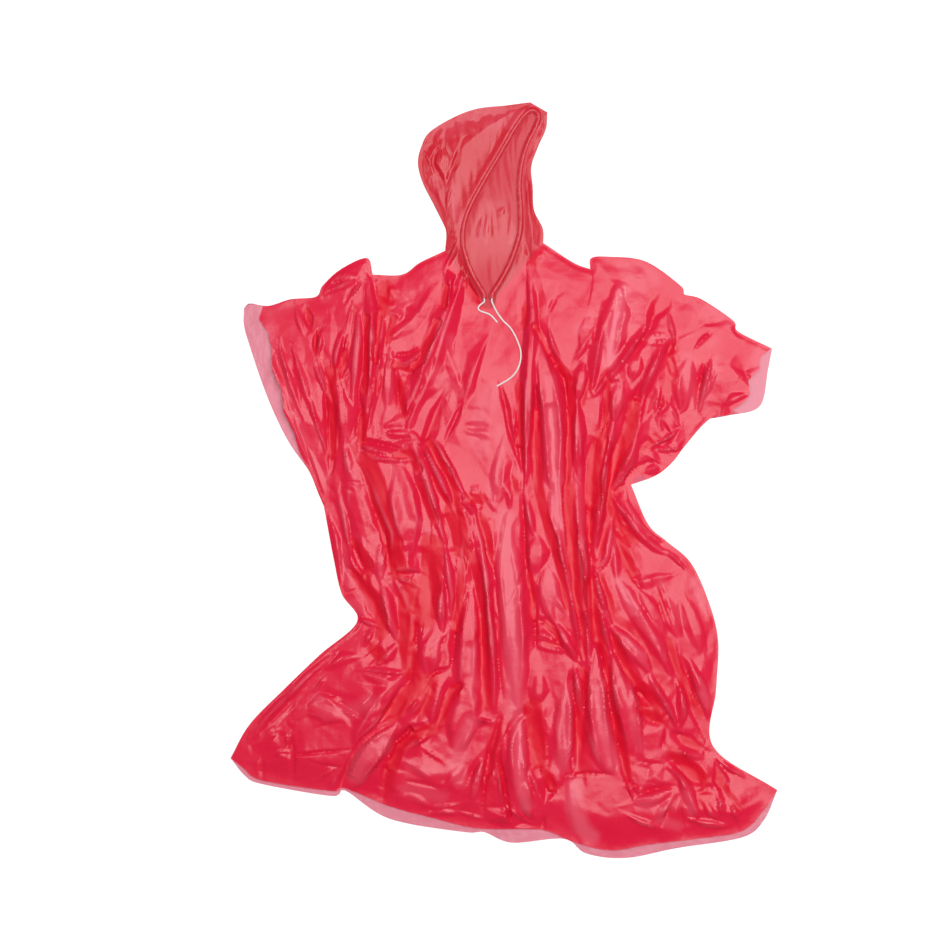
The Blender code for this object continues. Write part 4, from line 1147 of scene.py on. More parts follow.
class Facets:
    """The folds' landscape: flat facets between creases, as in film that was folded and crushed.

    Lengths are in millimetres.
    """

    CREST_STEP = 14.0         # spacing of corners along a crest
    FOOT_STEP = 22.0          # the same along a flank's foot
    FOOT_REACH = (0.65, 1.6)  # least and greatest share of a flank's width at which its foot's corners lie
    LEAST_CREST = 1.5         # half width from which a level crest has an edge on each side
    LOOSE_STEP = 28.0         # spacing of corners between creases
    LOOSE_PLACE = (0.1, 0.9)  # where such a corner lies in its cell
    LOOSE_HEIGHT = 0.75       # how far such a corner stands high or low
    CLEARANCE = 12.0          # how far such a corner keeps from the creases' corners
    CREST_HOLD = 3.0          # how soon a corner near a crest's edge keeps the crest's height
    STEEPNESS = 0.88          # share of the creases' height that the facets keep
    HOOD_FOOT = 350.0         # above here the film is the hood's, which is smoother
    HOOD_CALM = 0.15          # the hood's loose height
    HOOD_STEEPNESS = 0.62     # the hood's steepness
    MARGIN = 60.0             # how far the landscape reaches past the creases
    SAME_CORNER = 0.4         # corners nearer than this become one
    ROUNDING = 0.4            # half width over which an edge is rounded
    ABOVE_ALL = 100.0         # higher than any fold
    SEED = 7

    def __init__(self, creases: CreaseField) -> None:
        """Set out the corners, join them into facets and raise them.

        Args:
            creases: The creases that the facets lie between.
        """
        draw = np.random.default_rng(self.SEED)
        corners: list[np.ndarray] = []
        edges: list[tuple[int, int]] = []
        count = 0
        for crease in creases.creases:
            for line in self.lines(crease, draw):
                corners.append(line)
                edges += [(count + step, count + step + 1) for step in range(len(line) - 1)]
                count += len(line)
        spread = np.vstack(corners)
        spread = np.vstack((spread, self.loose_corners(spread, draw)))
        made = delaunay_2d_cdt([Vector(corner) for corner in spread], edges, [], 0, self.SAME_CORNER, False)
        plan = np.array(made[0])
        folds = creases.at(plan * MM)
        in_hood = plan[:, 1] > self.HOOD_FOOT
        uneven = draw.uniform(-1.0, 1.0, len(plan)) * np.where(in_hood, self.HOOD_CALM, self.LOOSE_HEIGHT)
        # the painted highlight's mask also marks a crest's edge, where corners keep the crest's height
        uneven *= 1.0 - np.clip(folds.painted_highlight * self.CREST_HOLD, 0.0, 1.0)
        heights = folds.height / MM * np.where(in_hood, self.HOOD_STEEPNESS, self.STEEPNESS) + uneven
        self.tree = BVHTree.FromPolygons(
            [(*place, height) for place, height in zip(plan.tolist(), heights.tolist())], made[2])

    def lines(self, crease: Crease, draw: np.random.Generator) -> Iterator[np.ndarray]:
        """A crease's lines of corners: its crest, with two edges if it is level, and its two feet.

        Args:
            crease: The crease.
            draw: Picks how far out each corner of a foot lies.

        Yields:
            One line's corners in plan.
        """
        route = Line(np.array(crease.route, dtype=float))
        shares, right, half, _ = self.stations(crease, route, self.CREST_STEP)
        if crease.crest < self.LEAST_CREST:
            yield route.at(shares)
        else:
            for side in (-1, 1):
                yield route.at(shares) + right * (side * half)[:, None]
        shares, right, half, flank = self.stations(crease, route, self.FOOT_STEP)
        for side, width in ((-1, crease.left), (1, crease.right)):
            reach = half + width * flank * draw.uniform(*self.FOOT_REACH, len(shares))
            yield route.at(shares) + right * (side * reach)[:, None]

    @staticmethod
    def stations(crease: Crease, route: Line, step: float) -> tuple[np.ndarray, ...]:
        """Read a crease at even steps.

        Args:
            crease: The crease.
            route: Its route.
            step: Distance between stations.

        Returns:
            Shares of the route's length, right-hand steps, half widths of the crest and shares
            of the flanks' widths.
        """
        shares = np.linspace(0.0, 1.0, max(2, round(route.length / step) + 1))
        swell = swell_of(crease, shares)
        return shares, route.right_hand(shares, 0.02), crease.crest * swell, flank_share(swell)

    def loose_corners(self, spread: np.ndarray, draw: np.random.Generator) -> np.ndarray:
        """Corners between the creases, one in each cell that is clear of them.

        Args:
            spread: The creases' corners.
            draw: Picks each corner's place in its cell.

        Returns:
            Rows of two coordinates.
        """
        low, high = spread.min(axis=0) - self.MARGIN, spread.max(axis=0) + self.MARGIN
        columns, rows = np.ceil((high - low) / self.LOOSE_STEP).astype(int)
        cells = np.indices((columns, rows)).reshape(2, -1).T
        loose = low + self.LOOSE_STEP * (cells + draw.uniform(*self.LOOSE_PLACE, (columns * rows, 2)))
        taken = KDTree(len(spread))
        for index, corner in enumerate(spread):
            taken.insert((*corner, 0.0), index)
        taken.balance()
        return loose[[taken.find((*corner, 0.0))[2] > self.CLEARANCE for corner in loose]]

    def at(self, points: np.ndarray) -> np.ndarray:
        """Heights over plan points, each a mean of four places close to it.

        Args:
            points: Plan points in metres.

        Returns:
            Heights in metres.
        """
        total = np.zeros(len(points))
        for across, up in ((-1, -1), (-1, 1), (1, -1), (1, 1)):
            moved = points / MM + (across * self.ROUNDING, up * self.ROUNDING)
            for index, (x, y) in enumerate(moved.tolist()):
                place = self.tree.ray_cast((x, y, self.ABOVE_ALL), (0.0, 0.0, -1.0))[0]
                total[index] += place.z if place else 0.0
        return total * 0.25 * MM


class Tones:
    """The strokes of painted shade, where the film also tilts away from the light, and of painted sheen.
    Lengths are in millimetres.
    """

    SOFTNESS = 4.0         # width of the edge of a stroke of painted shade
    SHEEN_SOFTNESS = 16.0  # the same for a stroke of painted sheen
    RAGGED = 1.8           # how far an edge wanders
    WANDERING = 13.0       # how far apart its turns are
    TILT = 0.27            # tangent of a deep stroke's slope away from the light
    HIGHEST = 8.0          # how far such a slope may rise
    RUNOUT = 1.5           # half widths over which the film comes back down beside it
    END_STEEPNESS = 5.0    # how soon a slope is full, counted from the stroke's ends
    END_SHARE = 0.35       # how full it is at the ends, before smoothing
    LIGHT = np.array((0.87, 0.48))  # where the light stands, in plan

    def __init__(self) -> None:
        """Prepare the wandering of the edges."""
        self.wander = [
            Crumple(self.WANDERING * MM, 1.0, 1.6, turn, seed) for turn, seed in ((0.1, 31), (0.4, 32))]

    def at(self, points: np.ndarray) -> tuple[np.ndarray, np.ndarray]:
        """Read the strokes over plan points.

        Args:
            points: Plan points in metres.

        Returns:
            How much painted shade the film has, below zero how much painted sheen, and how high it stands
            in metres.
        """
        plan = points / MM + self.RAGGED * np.column_stack([crumple.at(points) for crumple in self.wander])
        depth = np.zeros(len(plan))
        rise = np.zeros(len(plan))
        for stroke in (*SHEEN_STROKES, *SHADE_STROKES):
            near = within(stroke.route, stroke.half_width * (1.0 + self.RUNOUT) + self.SHEEN_SOFTNESS, plan)
            if not near.any():
                continue
            found = measure(stroke.route, plan[near])
            softness = self.SOFTNESS if stroke.depth > 0 else self.SHEEN_SOFTNESS
            inside = smoothstep((stroke.half_width - found.distance) / softness + 0.5)
            fuller = np.abs(stroke.depth * inside) > np.abs(depth[near])
            depth[near] = np.where(fuller, stroke.depth * inside, depth[near])
            if stroke.depth > 0:
                rise[near] += self.slope(stroke, found)
        return depth, rise * MM

    def slope(self, stroke: Stroke, found: Reading) -> np.ndarray:
        """How high the film stands across a deep stroke: it falls away from the light.

        Args:
            stroke: The stroke.
            found: Points measured from its route.

        Returns:
            Heights, above and below zero.
        """
        towards = found.distance * np.sign(found.side * (found.right @ self.LIGHT))
        share = towards / stroke.half_width
        ramp = np.clip(share, -1.0, 1.0) * np.clip(1.0 - (np.abs(share) - 1.0) / self.RUNOUT, 0.0, 1.0)
        along = smoothstep(np.minimum(found.share, 1.0 - found.share) * self.END_STEEPNESS + self.END_SHARE)
        return min(stroke.half_width * self.TILT * stroke.depth, self.HIGHEST / 2) * ramp * along


class Nearness:
    """Distances in plan to a set of lines."""

    SPACING = 1.5 * MM

    def __init__(self, *lines: Line) -> None:
        """Sort points along the lines into a tree."""
        marks = np.vstack([
            line.at(np.linspace(0.0, 1.0, math.ceil(line.length / self.SPACING))) for line in lines])
        self.tree = KDTree(len(marks))
        for index, mark in enumerate(marks):
            self.tree.insert((mark[0], mark[1], 0.0), index)
        self.tree.balance()

    def at(self, points: np.ndarray) -> np.ndarray:
        """Distances from plan points, in metres."""
        return np.array([self.tree.find((x, y, 0.0))[2] for x, y in points.tolist()])


class Drape(NamedTuple):
    """A sheet's points in metres, with how much painted shade and painted highlight its colour has at each.
    """

    points: np.ndarray
    painted_shade: np.ndarray
    painted_highlight: np.ndarray


class UpperFilm:
    """The garment's top surface: one landscape of folds that runs on across its seams."""

    SEAM_FADE = 9 * MM      # width over which the folds settle towards a seam
    LEVEL_FADE = 30 * MM    # the same for the film's level
    HEM_FADE = 16 * MM      # the same at an open edge
    HEM_SHARE = 0.3         # share of the folds that is left at an open edge
    BILLOW = 8 * MM         # how high the film stands in the middle, away from its seams
    BILLOW_FADE = 110 * MM  # distance from a seam at which it does
    HEM_SLACK = 2.0         # how much sooner it does so from an open edge
    PATCH_EDGE = 1.4        # where a patch of wrinkles ends, in half widths
    PLEAT_FOOT = 350 * MM   # the hood is finely pleated from here up
    HIGHLIGHT_SHOWN = 0.55             # how much of a crest's painted highlight shows
    HIGHLIGHT_BREAKUP = 1.7        # how much finer than the facets the painted highlight is broken up
    CREST_HIGHLIGHT = 0.5         # how white a sharp crest's painted highlight is
    TROUGH_SHADE = 0.5      # how strong a trough's painted shade is
    STROKE_CALM = 0.6       # how much lower the facets are within a stroke
    PAINTED_SHEEN = 0.5         # how pale a stroke of painted sheen makes the colour

    def __init__(self) -> None:
        """Gather the creases and the lines at which the film is held down."""
        self.creases = CreaseField([
            *CHEST_LEFT, *WAIST_LEFT, *CHEST_RIGHT, *WAIST_RIGHT, *LAP_LEFT, *LAP_RIGHT, *FLARE_LEFT,
            *HEM_MIDDLE, *HEM_RIGHT, *SLEEVE_LEFT_FILM, *SLEEVE_RIGHT_FILM, *HOOD_FILM])
        self.facets = Facets(self.creases)
        self.coarse = Crumple(60 * MM, 2.2 * MM, 2.0, 0.05, 11)
        self.fine = (Crumple(24 * MM, 0.4 * MM, 1.9, -0.15, 12), Crumple(11 * MM, 0.15 * MM, 1.6, 0.3, 13))
        self.pleats = Crumple(7 * MM, 0.7 * MM, 6.0, 0.1, 41)
        self.wrinkles = [
            Crumple(patch.wrinkle * MM, patch.height * MM, 2.4, math.radians(patch.turn), 50 + index)
            for index, patch in enumerate(PATCHES)]
        crown = Line(np.array([HOOD_BACK_SEAM[-1], HOOD_FRONT_FOLD[-1]]) * MM)
        self.seams = Nearness(crown, *(Line.through(marks) for marks in (
            SHOULDER_LEFT, SHOULDER_RIGHT, SLEEVE_LEFT_TOP, SLEEVE_LEFT_UNDER, SLEEVE_RIGHT_TOP,
            SLEEVE_RIGHT_UNDER, SIDE_LEFT, SIDE_RIGHT, HOOD_BACK_SEAM, HOOD_FRONT_FOLD)))
        self.hem = Nearness(Line.through(HEM_FRONT))
        self.channel = Nearness(Line.through(CASING_ROUTE))
        self.tones = Tones()

    def at(self, plan: np.ndarray, lowered: float = 0.0) -> Drape:
        """The top surface over plan points.

        Args:
            plan: Plan points in metres.
            lowered: How far under the top surface this sheet's edge is tucked, in metres.

        Returns:
            The sheet.
        """
        beside = self.channel.at(plan) - CHANNEL.half_width
        held = np.minimum(self.seams.at(plan), beside)
        free = self.hem.at(plan)
        loose = smoothstep(held / self.SEAM_FADE)
        loose *= self.HEM_SHARE + (1.0 - self.HEM_SHARE) * smoothstep(free / self.HEM_FADE)
        folds = self.creases.at(plan)
        depth, slopes = self.tones.at(plan)
        billow = self.BILLOW * smoothstep(np.minimum(held, free * self.HEM_SLACK) / self.BILLOW_FADE)
        settled = smoothstep(held / self.LEVEL_FADE)
        corded = 1.0 - smoothstep(beside / self.LEVEL_FADE)
        level = FILM.seam_level + (FILM.front_level - FILM.seam_level) * settled
        level = level + (CORD.level - level) * corded
        lowest = FILM.seam_level + FILM.least_gap * settled
        facets = self.facets.at(plan) * (1.0 - self.STROKE_CALM * np.abs(depth))
        height = np.maximum(level + billow + (facets + slopes + self.crushed(plan)) * loose, lowest)
        points = np.column_stack((plan + folds.shift * loose[:, None], height - lowered))
        # painted shade from troughs and shade strokes; painted highlight along crests, broken up by a
        # grain, and painted sheen from sheen strokes
        painted_shade = np.clip(folds.painted_shade * self.TROUGH_SHADE + np.maximum(depth, 0.0), 0.0, 1.0)
        grain = self.fine[0]
        highlight_shown = np.clip(self.HIGHLIGHT_SHOWN + grain.at(plan * self.HIGHLIGHT_BREAKUP) / grain.height, 0.0, 1.0)
        painted_highlight = folds.painted_highlight * loose * highlight_shown * self.CREST_HIGHLIGHT
        return Drape(points, painted_shade, np.maximum(painted_highlight, np.maximum(-depth, 0.0) * self.PAINTED_SHEEN))

    def crushed(self, plan: np.ndarray) -> np.ndarray:
        """Height of the crumples, the patches of wrinkles and the hood's pleats.

        Args:
            plan: Plan points in metres.

        Returns:
            Heights in metres, above and below zero.
        """
        crushed = sum(crumple.at(plan) for crumple in (self.coarse, *self.fine))
        for patch, wrinkle in zip(PATCHES, self.wrinkles):
            away = np.linalg.norm((plan / MM - patch[:2]) / (patch.half_width, patch.half_height), axis=1)
            crushed = crushed + wrinkle.at(plan) * smoothstep(self.PATCH_EDGE - away)
        return crushed + self.pleats.at(plan) * smoothstep((plan[:, 1] - self.PLEAT_FOOT) / FILM.pleat_fade)

    def under_level(self, plan: np.ndarray, more: np.ndarray | float = 0.0) -> np.ndarray:
        """Height of a layer that lies on the surface, with low wrinkles.

        Args:
            plan: Plan points in metres.
            more: Further wrinkles there, in metres.

        Returns:
            Heights in metres.
        """
        wrinkles = sum(crumple.at(plan) for crumple in self.fine) + more
        return FILM.back_level + np.clip(FILM.under_share * wrinkles, -FILM.under_limit, FILM.under_limit)


# ------------------------------------------------------------------------ finishes
Colour = tuple[float, float, float]


class Finish:
    """What the finishes share."""

    @staticmethod
    def start(name: str) -> tuple[bpy.types.Material, bpy.types.Node, bpy.types.Node]:
        """Make a material with nodes.

        Args:
            name: Its name.

        Returns:
            The material, its shader and its coordinates.
        """
        material = bpy.data.materials.new(name)
        material.use_nodes = True
        place = Finish.node(material, "ShaderNodeTexCoord")
        return material, material.node_tree.nodes["Principled BSDF"], place

    @staticmethod
    def node(material: bpy.types.Material, kind: str, **values: float) -> bpy.types.Node:
        """Add a node.

        Args:
            material: The material.
            kind: The node's type.
            **values: Values for its sockets, with _ for each space in a socket's name.

        Returns:
            The node.
        """
        node = material.node_tree.nodes.new(kind)
        for socket, value in values.items():
            node.inputs[socket.replace("_", " ")].default_value = value
        return node

    @staticmethod
    def mix(material: bpy.types.Material, first: Colour, second: Colour) -> bpy.types.Node:
        """Add a node that mixes two colours.

        Args:
            material: The material.
            first: The colour at 0.
            second: The colour at 1.

        Returns:
            The node.
        """
        node = material.node_tree.nodes.new("ShaderNodeMix")
        node.data_type = "RGBA"
        node.inputs["A"].default_value = (*first, 1.0)
        node.inputs["B"].default_value = (*second, 1.0)
        return node


@dataclass(frozen=True)
class FilmFinish(Finish):
    """Thin red polyethylene film: see-through, glossy, finely crushed.

    Its colour has painted shade, and is a little duller, in troughs, in the face opening and
    where the film tilts away from the light. It has a painted sheen where it lies level under
    the light, and a painted highlight along its sharp crests. Two attributes of the sheet say where.
    """

    name: str
    colour: Colour = (0.69, 0.002, 0.036)
    worn_colour: Colour = (0.71, 0.012, 0.050)
    # the colour of painted shade, then that of painted highlight and painted sheen
    painted_shade_colour: Colour = (0.69, 0.0, 0.020)
    painted_highlight_colour: Colour = (0.78, 0.15, 0.22)
    cover: float = 0.90
    specular: float = 0.28
    glossiest: float = 0.21
    dullest: float = 0.33
    deep_dulling: float = 0.14
    cloud_scale: float = 14.0
    grain_scale: float = 160.0
    crack_scale: float = 70.0
    crush: float = 0.11
    grain_depth: float = 0.8 * MM
    crack_depth: float = 1.6 * MM

    def build(self) -> bpy.types.Material:
        """Make the material.

        Returns:
            The material.
        """
        material, shader, place = self.start(self.name)
        links = material.node_tree.links
        shader.inputs["Alpha"].default_value = self.cover
        shader.inputs["Specular IOR Level"].default_value = self.specular
        cloud = self.node(material, "ShaderNodeTexNoise", Scale=self.cloud_scale, Detail=4.0)
        links.new(place.outputs["Object"], cloud.inputs["Vector"])
        tone = self.mix(material, self.colour, self.worn_colour)
        links.new(cloud.outputs["Fac"], tone.inputs["Factor"])
        readers = {}
        # lay painted shade, then painted highlight and sheen, over the film's colour, as far as each
        # attribute says
        for share, colour in (("painted_shade", self.painted_shade_colour), ("painted_highlight", self.painted_highlight_colour)):
            reader = readers[share] = self.node(material, "ShaderNodeAttribute")
            reader.attribute_name = share
            layer = self.mix(material, colour, colour)
            links.new(reader.outputs["Fac"], layer.inputs["Factor"])
            links.new(tone.outputs["Result"], layer.inputs["A"])
            tone = layer
        links.new(tone.outputs["Result"], shader.inputs["Base Color"])
        gloss = self.node(material, "ShaderNodeMapRange", From_Min=0.3, From_Max=0.7,
                          To_Min=self.glossiest, To_Max=self.dullest)
        links.new(cloud.outputs["Fac"], gloss.inputs["Value"])
        dulled = self.node(material, "ShaderNodeMath")
        dulled.operation = "MULTIPLY_ADD"
        dulled.inputs[1].default_value = self.deep_dulling
        links.new(readers["painted_shade"].outputs["Fac"], dulled.inputs[0])
        links.new(gloss.outputs["Result"], dulled.inputs[2])
        links.new(dulled.outputs["Value"], shader.inputs["Roughness"])
        self.crush_surface(material, shader, place)
        return material

    def crush_surface(self, material: bpy.types.Material, shader: bpy.types.Node,
                      place: bpy.types.Node) -> None:
        """Give the film its fine grain and its small cracks.

        Args:
            material: The material.
            shader: Its shader.
            place: Its coordinates.
        """
        links = material.node_tree.links
        grain = self.node(material, "ShaderNodeTexNoise", Scale=self.grain_scale, Detail=5.0)
        links.new(place.outputs["Object"], grain.inputs["Vector"])
        cracks = self.node(material, "ShaderNodeTexVoronoi", Scale=self.crack_scale)
        cracks.feature = "F1"
        cracks.distance = "MANHATTAN"
        links.new(place.outputs["Object"], cracks.inputs["Vector"])
        fine = self.node(material, "ShaderNodeBump", Strength=self.crush, Distance=self.grain_depth)
        links.new(grain.outputs["Fac"], fine.inputs["Height"])
        coarse = self.node(material, "ShaderNodeBump", Strength=self.crush, Distance=self.crack_depth)
        links.new(cracks.outputs["Distance"], coarse.inputs["Height"])
        links.new(fine.outputs["Normal"], coarse.inputs["Normal"])
        links.new(coarse.outputs["Normal"], shader.inputs["Normal"])


@dataclass(frozen=True)
class CordFinish(Finish):
    """Braided white polyester cord."""

    name: str
    colour: Colour = (0.86, 0.84, 0.82)
    # painted shade in the braid's grooves
    groove_shade: Colour = (0.62, 0.58, 0.56)
    roughness: float = 0.7
    sheen: float = 0.2
    braid_scale: float = 420.0
    braid_strength: float = 0.5
    braid_depth: float = 0.2 * MM

    def build(self) -> bpy.types.Material:
        """Make the material.

        Returns:
            The material.
        """
        material, shader, place = self.start(self.name)
        links = material.node_tree.links
        shader.inputs["Roughness"].default_value = self.roughness
        shader.inputs["Sheen Weight"].default_value = self.sheen
        braid = self.node(material, "ShaderNodeTexWave", Scale=self.braid_scale, Distortion=1.0)
        braid.bands_direction = "DIAGONAL"
        links.new(place.outputs["Object"], braid.inputs["Vector"])
        # the braid's low places get painted shade
        tone = self.mix(material, self.groove_shade, self.colour)
        links.new(braid.outputs["Fac"], tone.inputs["Factor"])
        links.new(tone.outputs["Result"], shader.inputs["Base Color"])
        bump = self.node(material, "ShaderNodeBump", Strength=self.braid_strength,
                         Distance=self.braid_depth)
        links.new(braid.outputs["Fac"], bump.inputs["Height"])
        links.new(bump.outputs["Normal"], shader.inputs["Normal"])
        return material


# ------------------------------------------------------------------- making pieces
Shape = Callable[[np.ndarray, np.ndarray], Drape]
SHARP_EDGE = math.radians(32.0)  # facets that meet at less than this are shaded as one bend


def film_grid(name: str, columns: int, rows: int, shape: Shape, closed: bool = False) -> bpy.types.Object:
    """A sheet of film from a grid that a shape puts in place.

    Args:
        name: The piece's name.
        columns: Cells along u.
        rows: Cells along v.
        shape: Takes u and v and gives the sheet.
        closed: Joins u = 1 to u = 0, as on a tube.

    Returns:
        The piece.
    """
    bpy.ops.object.select_all(action="DESELECT")
    bpy.ops.mesh.primitive_grid_add(x_subdivisions=columns, y_subdivisions=rows, size=1.0)
    piece = bpy.context.active_object
    piece.name = piece.data.name = name
    mesh = piece.data
    flat = np.empty(len(mesh.vertices) * 3)
    mesh.vertices.foreach_get("co", flat)
    flat = flat.reshape(-1, 3)
    drape = shape(flat[:, 0] + 0.5, 0.5 - flat[:, 1])
    mesh.vertices.foreach_set("co", drape.points.astype(np.float32).ravel())
    # keep the shares of painted shade and painted highlight as attributes that the material reads
    for share, values in (("painted_shade", drape.painted_shade), ("painted_highlight", drape.painted_highlight)):
        mesh.attributes.new(share, "FLOAT", "POINT").data.foreach_set("value", values.astype(np.float32))
    mesh.update()
    if closed:
        bpy.ops.object.mode_set(mode="EDIT")
        bpy.ops.mesh.select_all(action="SELECT")
        bpy.ops.mesh.remove_doubles(threshold=0.01 * MM)
        bpy.ops.object.mode_set(mode="OBJECT")
    bpy.ops.object.shade_smooth_by_angle(angle=SHARP_EDGE)
    piece.select_set(False)
    return piece


def dress(piece: bpy.types.Object, material: bpy.types.Material, slot: Slot, *nodes: str) -> None:
    """Finish a piece, put it on the body and let it stand for its CAD nodes.

    Args:
        piece: The piece.
        material: Its material.
        slot: The record's material slot; not used.
        *nodes: The CAD nodes that it stands for.
    """
    piece.data.materials.clear()
    piece.data.materials.append(material)
    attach(piece, ROOT)
    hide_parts(*nodes)


def add_second_ply(piece: bpy.types.Object, material: bpy.types.Material,
                   chosen: Callable[[bpy.types.MeshPolygon], bool]) -> None:
    """Give some of a piece's faces a second material.

    Args:
        piece: The piece.
        material: The second material.
        chosen: Says which faces get it.
    """
    piece.data.materials.append(material)
    for face in piece.data.polygons:
        face.material_index = int(chosen(face))


def fold_outward(point: np.ndarray, inner: np.ndarray, turn: np.ndarray) -> np.ndarray:
    """How far film bulges outwards at a fold.

    Args:
        point: Plan points at the fold.
        inner: Plan points a little way in from them.
        turn: How far round the fold each point is, from 0 to 1.

    Returns:
        Steps in plan, as rows of two.
    """
    outward = point - inner
    outward /= np.maximum(np.linalg.norm(outward, axis=1), 1e-9)[:, None]
    return outward * (np.sin(math.pi * turn) * FILM.fold_bulge)[:, None]


# ----------------------------------------------------------------------- the body
@dataclass
class Body:
    """The front and the back, which share their shoulders, armholes and side seams."""

    top: UpperFilm
    shoulder_left_cells: int = 74
    neck_left_cells: int = 59
    mouth_cells: int = 28
    neck_right_cells: int = 72
    shoulder_right_cells: int = 52
    armhole_cells: int = 147
    side_cells: int = 197
    back_shoulder_cells: int = 40
    back_neck_cells: int = 70
    back_rows: int = 190
    # where the face opening starts, and where and how softly the painted shade in it fades out
    opening_foot: float = 255 * MM
    shade_top: float = 346 * MM
    shade_fade: float = 40 * MM

    def __post_init__(self) -> None:
        """Lay out the front's and the back's plans."""
        left = JoinedLine((Line.through(ARMHOLE_LEFT), self.armhole_cells),
                          (Line.through(SIDE_LEFT), self.side_cells))
        right = JoinedLine((Line.through(ARMHOLE_RIGHT), self.armhole_cells),
                           (Line.through(SIDE_RIGHT), self.side_cells))
        self.front_plan = Panel(
            JoinedLine((Line.through(SHOULDER_LEFT), self.shoulder_left_cells),
                       (Line.through(NECKLINE_LEFT), self.neck_left_cells),
                       (Line.through(NECKLINE_MOUTHS), self.mouth_cells),
                       (Line.through(NECKLINE_RIGHT), self.neck_right_cells),
                       (Line.through(SHOULDER_RIGHT), self.shoulder_right_cells)),
            Line.through(HEM_FRONT), left, right)
        self.back_plan = Panel(
            JoinedLine((Line.through(SHOULDER_LEFT), self.back_shoulder_cells),
                       (Line.through(NECKLINE_BACK), self.back_neck_cells),
                       (Line.through(SHOULDER_RIGHT), self.back_shoulder_cells)),
            Line.through(HEM_BACK), left, right)

    def front_shape(self, u: np.ndarray, v: np.ndarray) -> Drape:
        """The front: a loose sheet over the back, sealed at its sides and open at its hem."""
        return self.top.at(self.front_plan.at(u, v))

    def back_shape(self, u: np.ndarray, v: np.ndarray) -> Drape:
        """The back: flat on the surface, with low wrinkles, pleated in the face opening and with painted
        shade there that fades out towards the opening's top.

        Args:
            u: Shares from the left edge to the right edge.
            v: Shares from the shoulders to the hem.

        Returns:
            The sheet.
        """
        plan = self.back_plan.at(u, v)
        above_foot = smoothstep((plan[:, 1] - self.opening_foot) / FILM.pleat_fade)
        below_top = smoothstep((self.shade_top - plan[:, 1]) / FILM.pleat_fade)
        pleats = self.top.pleats.at(plan) * above_foot * below_top
        level = self.top.under_level(plan + FILM.under_offset, pleats)
        # painted shade on the back in the face opening, full low down and fading out towards the top
        shaded = smoothstep((self.shade_top - plan[:, 1]) / self.shade_fade)
        shaded = shaded * (plan[:, 1] > self.opening_foot)
        return Drape(np.column_stack((plan, level)), shaded, np.zeros(len(plan)))

    def build(self, upper: bpy.types.Material, lower: bpy.types.Material,
              hood: bpy.types.Material) -> bpy.types.Object:
        """Make both sheets.

        Args:
            upper: The front's material.
            lower: The back's material.
            hood: The back's material where it shows in the face opening.

        Returns:
            The front, on which the drawstring lies.
        """
        back = film_grid("poncho_back", self.back_plan.top.cells, self.back_rows, self.back_shape)
        dress(back, lower, Slot.FILM, "back_panel")
        add_second_ply(back, hood, lambda face: face.center.y > self.opening_foot)
        front = film_grid("poncho_front", self.front_plan.top.cells, self.armhole_cells + self.side_cells,
                          self.front_shape)
        dress(front, upper, Slot.FILM, "front_panel")
        return front


